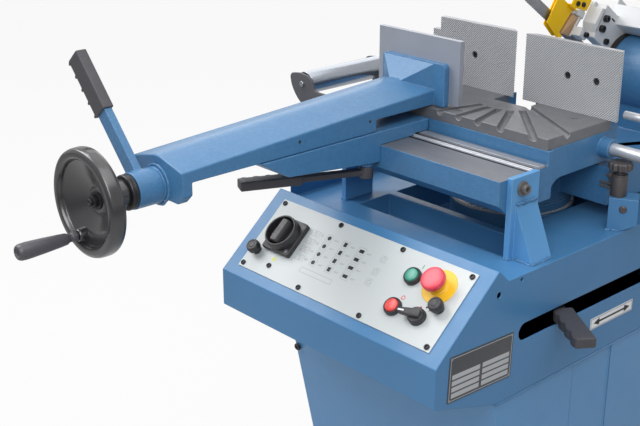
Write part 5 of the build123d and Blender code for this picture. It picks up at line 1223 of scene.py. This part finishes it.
# %% Mitre scale
SCALE_TOP = 746.0
TICK_END = 110.0
ZERO_TURN = 60.0
CUT = (-0.05, 0.12)
ticks = []
for degree in range(-90, 91):
    turn = math.radians(degree - ZERO_TURN)
    outward = np.array([math.cos(turn), math.sin(turn), 0.0])
    where = place((0, 0, SCALE_TOP), (0, 0, 1), outward)
    long = 11.0 if degree % 10 == 0 else 8.5 if degree % 5 == 0 else 6.0
    ticks.append(ribbon([(TICK_END - long, 0), (TICK_END, 0)], 0.55, *CUT, where))
    if degree % 10 == 0:
        spot = place(outward * 93.5 + np.array([0, 0, SCALE_TOP]), (0, 0, 1), np.cross((0, 0, 1), outward))
        ticks += figures(str(abs(degree) % 70), 6.5, 0.9, spot, *CUT)
piece("mitre_scale_marks", together(*ticks), "stand", ink_black)
print(len(ticks), "scale marks")

# %% [markdown]
# ## Mitre scale ring, index and welds
#
# The scale is a flat bright ring let into the painted turntable, so only its top is bare. The index is a
# spring plunger in a steel post: its knob has a scalloped rim that the fingers pull. Sheet brackets are
# joined by short hand welds, which stand proud as uneven beads under the paint. A bump wouldn't change the
# outline of a seam, so each bead is swept along its line.

# %% Scale ring
piece("scale_rim", hoop(108.0, 111.0, 743.0, 745.9, WORLD, 0.5, 144), "stand", cast_blue,
      ["degree_ring"])
piece("scale_face", hoop(72.2, 109.6, 743.1, SCALE_TOP, WORLD, 0.3, 144), "stand", scale_look)
print("scale ring")

# %% Index plunger
POST = place((229.0, -12.0, 0.0), (0, 0, 1), (1, 0, 0))
post_sleeve = together(hoop(5.3, 13.4, 807.6, 841.0, POST, 0.9, 64),
                       hoop(5.3, 13.08, 840.6, 843.0, POST, 0.03, 64),
                       hoop(5.3, 13.3, 842.6, 846.05, POST, 0.7, 64))
piece("index_post", post_sleeve, "stand", browned_steel)


def scallops(angle, height):
    """Twelve hollows round the knob's rim: a cosine of the angle, only between two heights."""
    return 1 - 0.115 * (1 - np.cos(12 * angle)) / 2 * 1.2 * ((height > 853.6) & (height < 866.9))


knob_line = rounded([(4.9, 796.4), (4.9, 846.2), (10.2, 846.2), (10.8, 848), (8.4, 849.4), (8.4, 852.2),
                     (15, 853), (20.2, 854.6), (20.5, 857), (20.5, 864.4), (19.4, 866.4), (15, 867),
                     (1.0, 867.05)], 0.8, 3)
piece("index_knob_look", turned(knob_line, POST, 144, scallops), "index", browned_steel,
      ["index_knob"])
FLAP = place((247.0, -21.464, 790.0), (0.5, -0.866, 0.0), (0.866, 0.5, 0.0))
button = rounded([(4.8, -3), (4.8, 0), (6.6, 0), (6.6, 0.9), (5.2, 2.4), (2.4, 2.9), (2.2, 1.4),
                  (0.5, 1.3)], 0.4, 2)
piece("index_bolt", turned(button, FLAP, 40), "stand", browned_steel)
FLANK = place((200.0, 3.5, 832.8), (1, 0, 0), (0, 1, 0))
piece("console_bolt", socket_screw(FLANK, 7.2, 7.0, 3.4, 4.0, 6.0), "console", aged_steel)
tongue = [slab(rectangle(30.0, 12.0, 2.0) + np.array([199.0, 3.8]), low, low + 4.0, WORLD, 0.6)
          for low in (811.0, 817.5)]
piece("index_tongue", together(*tongue), "console", aged_steel)
print("index knob", len(knob_line), "profile points")


# %% Weld beads
def swept(path, radius, sides=10, wobble=0.0, seed=1):
    """Round bead along a path (n, 3): a ring of points about each place, square to the path.

    wobble makes its radius uneven, as a weld's is, by smoothed random steps."""
    path = np.asarray(path, float)
    along = np.gradient(path, axis=0)
    along /= np.linalg.norm(along, axis=1)[:, None]
    helper = np.array([0.31, 0.53, 0.79])
    across = np.cross(along, helper)
    across /= np.linalg.norm(across, axis=1)[:, None]
    other = np.cross(along, across)
    swing = np.random.default_rng(seed).normal(0, 1, len(path))
    size = radius * (1 + wobble * np.convolve(swing, [0.25, 0.5, 0.25], "same"))
    angle = angles(sides)
    ring = np.cos(angle)[None, :, None] * across[:, None] + np.sin(angle)[None, :, None] * other[:, None]
    return skin(path[:, None] + size[:, None, None] * ring)


def bead(start, end, radius, seed, wander=0.5):
    """Hand weld between two points: a thick uneven bead that wanders a little off its line."""
    start, end = np.asarray(start, float), np.asarray(end, float)
    count = max(8, int(np.linalg.norm(end - start) / 1.4))
    line = start + (end - start) * np.linspace(0, 1, count)[:, None]
    shift = np.random.default_rng(seed).normal(0, wander, (count, 3))
    smooth = np.stack([np.convolve(column, [0.25, 0.5, 0.25], "same") for column in shift.T], -1)
    return swept(line + smooth, radius, 10, 0.35, seed + 50)


print("bead maker ready")

# %% Welds of the posts and the arm
TRAY = 752.6
beads = [bead((201.0, -247, 842), (201.0, -197, 842), 2.9, 1, 0.9),
         bead((238.4, -247, TRAY), (238.4, -197, TRAY), 2.4, 4, 0.8),
         bead((200, -248, TRAY), (238, -248, TRAY), 2.4, 3, 0.8),
         bead((191, -258.2, TRAY), (199.6, -258.2, TRAY), 2.2, 5),
         bead((200.4, -257, TRAY), (200.4, -249, TRAY), 2.2, 2),
         bead((-177.4, -257, TRAY), (-177.4, -191, TRAY), 2.2, 7),
         bead((226.5, -33.8, TRAY), (246.5, -22.2, TRAY), 2.4, 8, 0.8)]
hub_angle = np.linspace(0, 2 * np.pi, 73)
hub_ring = put(WHEEL,
               np.column_stack([30.0 * np.cos(hub_angle), 30.0 * np.sin(hub_angle), np.full(73, -681.6)]))
piece("arm_hub_weld", swept(hub_ring, 2.6, 10, 0.22, 9), "vise", cast_blue, crisp=60.0)
grub_screws = [socket_screw(place((-66.0, y, z), (1, 0, 0), (0, 1, 0)), 2.7, 0.5, 1.5, 2.2, 6.0)
               for y, z in ((-300.4, 928.3), (-454.5, 925.9))]
piece("arm_grub_screws", together(*grub_screws), "vise", dark_steel)
piece("weld_beads", together(*beads), "stand", cast_blue, crisp=60.0)
print(len(beads), "welds")

# %% [markdown]
# ## Prints and plates
#
# The panel is screen printed: rows of filled signs, each in a fine frame, with plain figures beside them.
# A dark plate with pale fields is riveted to the right side, and a pale strip with a double arrow is glued
# further back. Each print is a flat raised shape a tenth of a millimetre high, so it rides with its panel.


# %% Panel prints
def frame_line(width, height, thick, where, lift=0.1):
    """Outline of a rectangle as a fine closed line."""
    corners = rectangle(width, height)
    return [ribbon([a, b], thick, 0, lift, where) for a, b in zip(corners, np.roll(corners, -1, 0))]


def filled(outline, where, lift=0.14):
    """Flat printed sign: its outline raised by `lift`."""
    return slab(outline, 0, lift, where, 0.03, 1)


circle = np.column_stack([np.cos(angles(24)), np.sin(angles(24))])
ROWS = (125.0, 108.7, 92.3, 75.6)
black_marks, grey_marks = [], []
for s in ROWS:
    black_marks += [filled(circle * 4.0, on_panel(173.7, s)),
                    filled(rectangle(7.0, 8.0), on_panel(212.2, s)),
                    filled(rectangle(10.5, 6.0), on_panel(250.2, s))]
    for x, width in ((173.7, 13.5), (212.2, 13.5), (250.2, 16.0)):
        grey_marks += frame_line(width, 13.0, 0.35, on_panel(x, s))
        grey_marks += [ribbon([(-5, 0.8), (5, 0.8)], 0.5, 0, 0.1, on_panel(x + 17.0, s)),
                       ribbon([(-5, -0.8), (3, -0.8)], 0.5, 0, 0.1, on_panel(x + 17.0, s))]
    for offset in (-5.2, 5.2):
        where = on_panel(141.0 + offset, s - 1.0)
        grey_marks += frame_line(8.6, 10.5, 0.4, where)
        grey_marks.append(ribbon([(-3.2, -4), (3.2, 4)], 0.4, 0, 0.1, where))
for text, s in zip(("0", "45", "45", "60"), ROWS):
    grey_marks += figures(text, 4.2, 0.6, on_panel(156.5, s), 0, 0.1)
for s in (126.3, 102.7, 82.3):
    where = on_panel(298.6, s)
    grey_marks += [ringed(3.2, 0.5, 0, 0.1, where)] + frame_line(11.5, 11.5, 0.35, where)
    grey_marks.append(ribbon([(0, 3.4), (0, 5.4)], 0.6, 0, 0.1, where))
grey_marks += frame_line(74.0, 8.6, 0.5, on_panel(195.0, 56.7))
piece("panel_signs", together(*black_marks), "stand", ink_black)
piece("panel_lines", together(*grey_marks), "stand", ink_grey)
green_bar = filled(rectangle(1.6, 7.0), on_panel(375.2, 140.1))
piece("start_sign", green_bar, "stand", ink_green)
red_signs = [ringed(3.0, 1.3, 0, 0.14, on_panel(375.4, 81.6)),
             filled(rectangle(3.4, 3.4) * [1, 1.2], on_panel(414.5, 78.3))]
piece("stop_sign", together(*red_signs), "stand", ink_red)
position_signs = [filled(circle * 1.8, on_panel(423.9, 82.0)),
                  filled(rectangle(1.4, 6), on_panel(431.0, 80.4))]
piece("selector_signs", together(*position_signs), "stand", ink_black)
piece("colour_dot", filled(circle * 4.2, on_panel(93.7, 53.1)), "stand", dot_green)
print(len(black_marks) + len(grey_marks), "prints")

# %% Plate on the right side
lean = math.radians(-2.56)
PLATE_SIDE = (np.array([250.0, -372.2, 626.0]), np.array([0, math.cos(lean), math.sin(lean)]),
              np.array([0, -math.sin(lean), math.cos(lean)]), np.array([1.0, 0, 0]))
piece("name_plate", slab(rectangle(147.0, 76.0, 2.5), -0.2, 0.9, PLATE_SIDE, 0.25), "stand", plate_grey)
fields = frame_line(141.0, 70.0, 1.0, PLATE_SIDE, 1.0)
for row in range(4):
    for column in (-34.5, 34.5):
        spot = (put(PLATE_SIDE, [column, 3.5 - 10.2 * row, 0.0]), *PLATE_SIDE[1:])
        fields.append(slab(rectangle(63.0, 7.6, 0.6), 0.4, 1.0, spot, 0.1, 1))
piece("name_plate_fields", together(*fields), "stand", field_grey)
rivets = [turned([(2.6, 0.4), (2.4, 1.3), (1.4, 1.9), (0.3, 2.0)],
                 (put(PLATE_SIDE, [x, y, 0]), *PLATE_SIDE[1:]), 20) for x in (-69.5, 69.5)
          for y in (-34.0, 34.0)]
piece("name_plate_rivets", together(*rivets), "stand", ground_steel)
print(len(fields), "fields and frame lines")

# %% Arrow strip, front screw and painted shade of the table's screw slots
STRIP = (np.array([250.0, -30.0, 603.0]), np.array([0, 1.0, 0]), np.array([0, 0, 1.0]),
         np.array([1.0, 0, 0]))
piece("arrow_strip", slab(rectangle(122.0, 20.5, 1.0), -0.2, 0.5, STRIP, 0.1, 1), "stand", label_white)
shaft = filled(rectangle(78.0, 3.4), STRIP, 0.7)
arrow = np.array([(36, -6.6), (52, 0), (36, 6.6)])
tips = [filled(side * arrow, STRIP, 0.7) for side in (1, -1)]
border = frame_line(118.5, 17.0, 0.8, STRIP, 0.65)
piece("arrow_marks", together(shaft, *tips, *border), "stand", ink_black)
LEAN = place((-237.0, -312.5, 454.0), (0, -0.978, -0.210), (1, 0, 0))
front_head = turned([(7.2, -1), (7.2, 1.6), (6.0, 3.0), (3.2, 3.4), (3.0, 1.6), (0.5, 1.5)], LEAN, 36)
piece("stand_front_screw", front_head, "stand", dark_steel)
# Dark strips flush on the table: painted shade inside the slots of two set screws.
TOP = place((0, 0, 925.0), (0, 0, 1), (1, 0, 0))
screw_slot_shade_strips = [ribbon(line, 1.6, -0.2, 0.15, TOP)
             for line in ([(138.5, -32.7), (147.1, -25.1)], [(-24.9, -135.2), (-14.8, -128.7)])]
piece("table_screw_slot_shade", together(*screw_slot_shade_strips), "stand", deep_dark)
print("strip, front screw and table marks")

# %% [markdown]
# ## Blade guide
#
# The band runs between two bronze faced pads in a pale carrier, under a yellow sheet guard. A stepped
# column ties the carrier to the bow; cap screws hold it. All of it swings with the bow, so it is drawn in
# the bow's lowered position and turned up to the angle of the frame. Outlines with a hollow corner are
# split into two simple ones, because a flat cap over a hollow corner folds over itself.

# %% Bow frame of reference
raise_angle = math.radians(34.5)
rise = np.array([0.0, math.cos(raise_angle), -math.sin(raise_angle)])
lift = np.array([0.0, math.sin(raise_angle), math.cos(raise_angle)])
HINGE_Y, HINGE_Z = 257.0, 942.0
bow_origin = np.array([0.0, HINGE_Y, HINGE_Z]) - HINGE_Y * rise - HINGE_Z * lift
SIDE = (bow_origin, rise, lift, np.array([1.0, 0, 0]))
BOW = (bow_origin, np.array([1.0, 0, 0]), rise, lift)


def on_side(x, y, z):
    """Frame on a right-hand face of the bow, looking outwards."""
    return put(SIDE, [y, z, x]), rise, lift, np.array([1.0, 0, 0])


print("bow raised by", round(math.degrees(raise_angle), 1), "degrees")

# %% Guard
right_plate = rounded([(33, 922.6), (77, 914.5), (77.2, 925.2), (86.6, 977), (33, 977)], [2, 1, 1, 1, 2], 4,
                      closed=True)
lip = rounded([(76, 914.9), (89, 920.6), (88.4, 924.6), (76, 925.4)], [1, 1, 1, 1], 4, closed=True)
left_plate = rounded([(40, 922), (77, 916), (86, 921), (86, 977), (40, 977)], [2, 3, 2, 1, 2], 4,
                     closed=True)
flange = rounded([(68.5, 972), (109, 986.2), (118, 989), (120, 1011), (68.5, 1011)], [1, 6, 2, 3, 2], 4,
                 closed=True)
web = slab(rectangle(24.0, 27.0, 1.0) + np.array([0.8, 77.5]), 974.6, 977.0, BOW, 0.5)
guard_parts = [slab(right_plate, 4.4, 6.6, SIDE, 0.6), slab(lip, 4.4, 6.6, SIDE, 0.6),
               slab(left_plate, -6.6, -4.4, SIDE, 0.6), slab(flange, 10.4, 12.4, SIDE, 0.6), web,
               slab(rectangle(12.0, 24.0, 1.0) + np.array([0.0, 52.0]), 974.6, 977.0, BOW, 0.5)]
piece("blade_guard_look", together(*guard_parts), "bow", guard_yellow, ["back_blade_guard"])
guard_screws = [socket_screw(on_side(12.4, y, z), 4.6, 3.2, 2.2, 2.5, 3.0)
                for y, z in ((83.8, 986.7), (100.1, 993.1))]
piece("guard_screws", together(*guard_screws), "bow", dark_steel)
print("guard of", len(guard_parts), "sheets")

# %% Pads, carrier and column
pad = rounded([(81.5, 926), (104.5, 930.6), (107.8, 970.8), (89, 968)], [1, 1.5, 1, 1], 4, closed=True)
pads = [slab(pad, low, low + 7.6, SIDE, 0.8) for low in (1.4, -9.0)]
piece("guide_pads", together(*pads), "bow", guide_tan, ["back_guide_block"])
head = rounded([(88.4, 969), (108.6, 971.8), (117, 988), (112, 989), (89, 977)], [0.6, 0.6, 2, 2, 1.5], 4,
               closed=True)
strip = rounded([(105.4, 932), (110.5, 934), (116.4, 983), (108.6, 973)], [0.6, 2, 2, 0.6], 4, closed=True)
carrier_parts = [slab(outline, low, high, SIDE, 1.2) for outline in (head, strip)
                 for low, high in ((-12.0, -1.2), (1.2, 10.6))]
carrier_parts.append(slab(rectangle(24.0, 20.0, 1.5) + np.array([0.2, 108.0]), 972.0, 985.5, BOW, 1.0))
piece("guide_carrier", together(*carrier_parts), "bow", pale_grey)
column = rounded([(132, 952), (190, 952), (190, 1012), (121, 1012), (119, 1001), (119, 970)],
                 [2, 1, 1, 2, 2, 2], 3, closed=True)
column_parts = [slab(column, 12.6, 20.0, SIDE, 0.8)]
front = rounded([(127.8, 956), (127.8, 1003), (118, 1000), (116, 968)], [0.3, 0.3, 1.5, 1.5], 3,
                closed=True)
column_parts.append(slab(front, 19.0, 42.2, SIDE, 1.2))
toe = rounded([(101.5, 934.5), (122, 934.5), (128, 941), (128, 951.5), (101.5, 951.5)], [1, 2, 2, 1, 1], 3,
              closed=True)
column_parts.append(slab(toe, 13.0, 31.0, SIDE, 1.4))
piece("guide_column", together(*column_parts), "bow", pale_grey, ["back_guide_holder"])
bow_screws = [socket_screw(on_side(x, y, z), r, 1.2 * r, 0.5 * r, 3.0, 4.0)
              for x, y, z, r in ((42.0, 137.9, 969, 6.4), (42.0, 166.2, 956.9, 5.4),
                                 (42.0, 137.6, 989, 6.4), (31.0, 117.3, 944.5, 5.0))]
piece("guide_screws", together(*bow_screws), "bow", dark_steel)
# A dark flat inlay on the column's face: painted shade in a small slot.
slot_shade_inlay = slab(rectangle(13.0, 3.2, 1.5) + np.array([162.7, 998.5]), 41.6, 42.15, SIDE, 0.1)
piece("guide_slot_shade", slot_shade_inlay, "bow", deep_dark)
print("guide of", len(pads) + len(carrier_parts) + len(column_parts), "blocks")

# %% [markdown]
# ## Hinge rings and teeth
#
# Two flat spacer rings and a thin outer ring sit on the bow's hinge. The band's teeth are small slabs in
# three sets: one leans left, one stands straight, one leans right. Each has only a few faces, because there
# are sixty of them. Only the lower run is toothed, where the band is open to view.

# %% Hinge rings
HINGE = place((0.0, HINGE_Y, HINGE_Z), (1, 0, 0), (0, 1, 0))
spacer_rings = [hoop(22.3, 66.0, 42.05, 47.9, HINGE, 0.6, 96),
                hoop(22.3, 66.0, 210.1, 215.95, HINGE, 0.6, 96),
                hoop(68.3, 69.7, 42.3, 54.5, HINGE, 0.4, 120)]
piece("hinge_rings", together(*spacer_rings), "bow", dark_steel, ["hinge_spacers"])
print(len(spacer_rings), "rings")

# %% Blade teeth
TOOTH_PITCH = 6.0
TOOTH_SET = 0.18
HALF_BAND = 0.45
teeth = []
for k in range(60):
    y = -214.0 + TOOTH_PITCH * k
    lean_out = TOOTH_SET * (k % 3 - 1)
    tooth = np.array([(y, 927.9), (y + 1.6, 926.2), (y + 2.2, 926.2), (y + 5.6, 927.9)])
    teeth.append(slab(tooth, lean_out - HALF_BAND, lean_out + HALF_BAND, SIDE, 0.05, 1))
piece("blade_teeth", together(*teeth), "bow", blade_look)
print(len(teeth), "teeth")
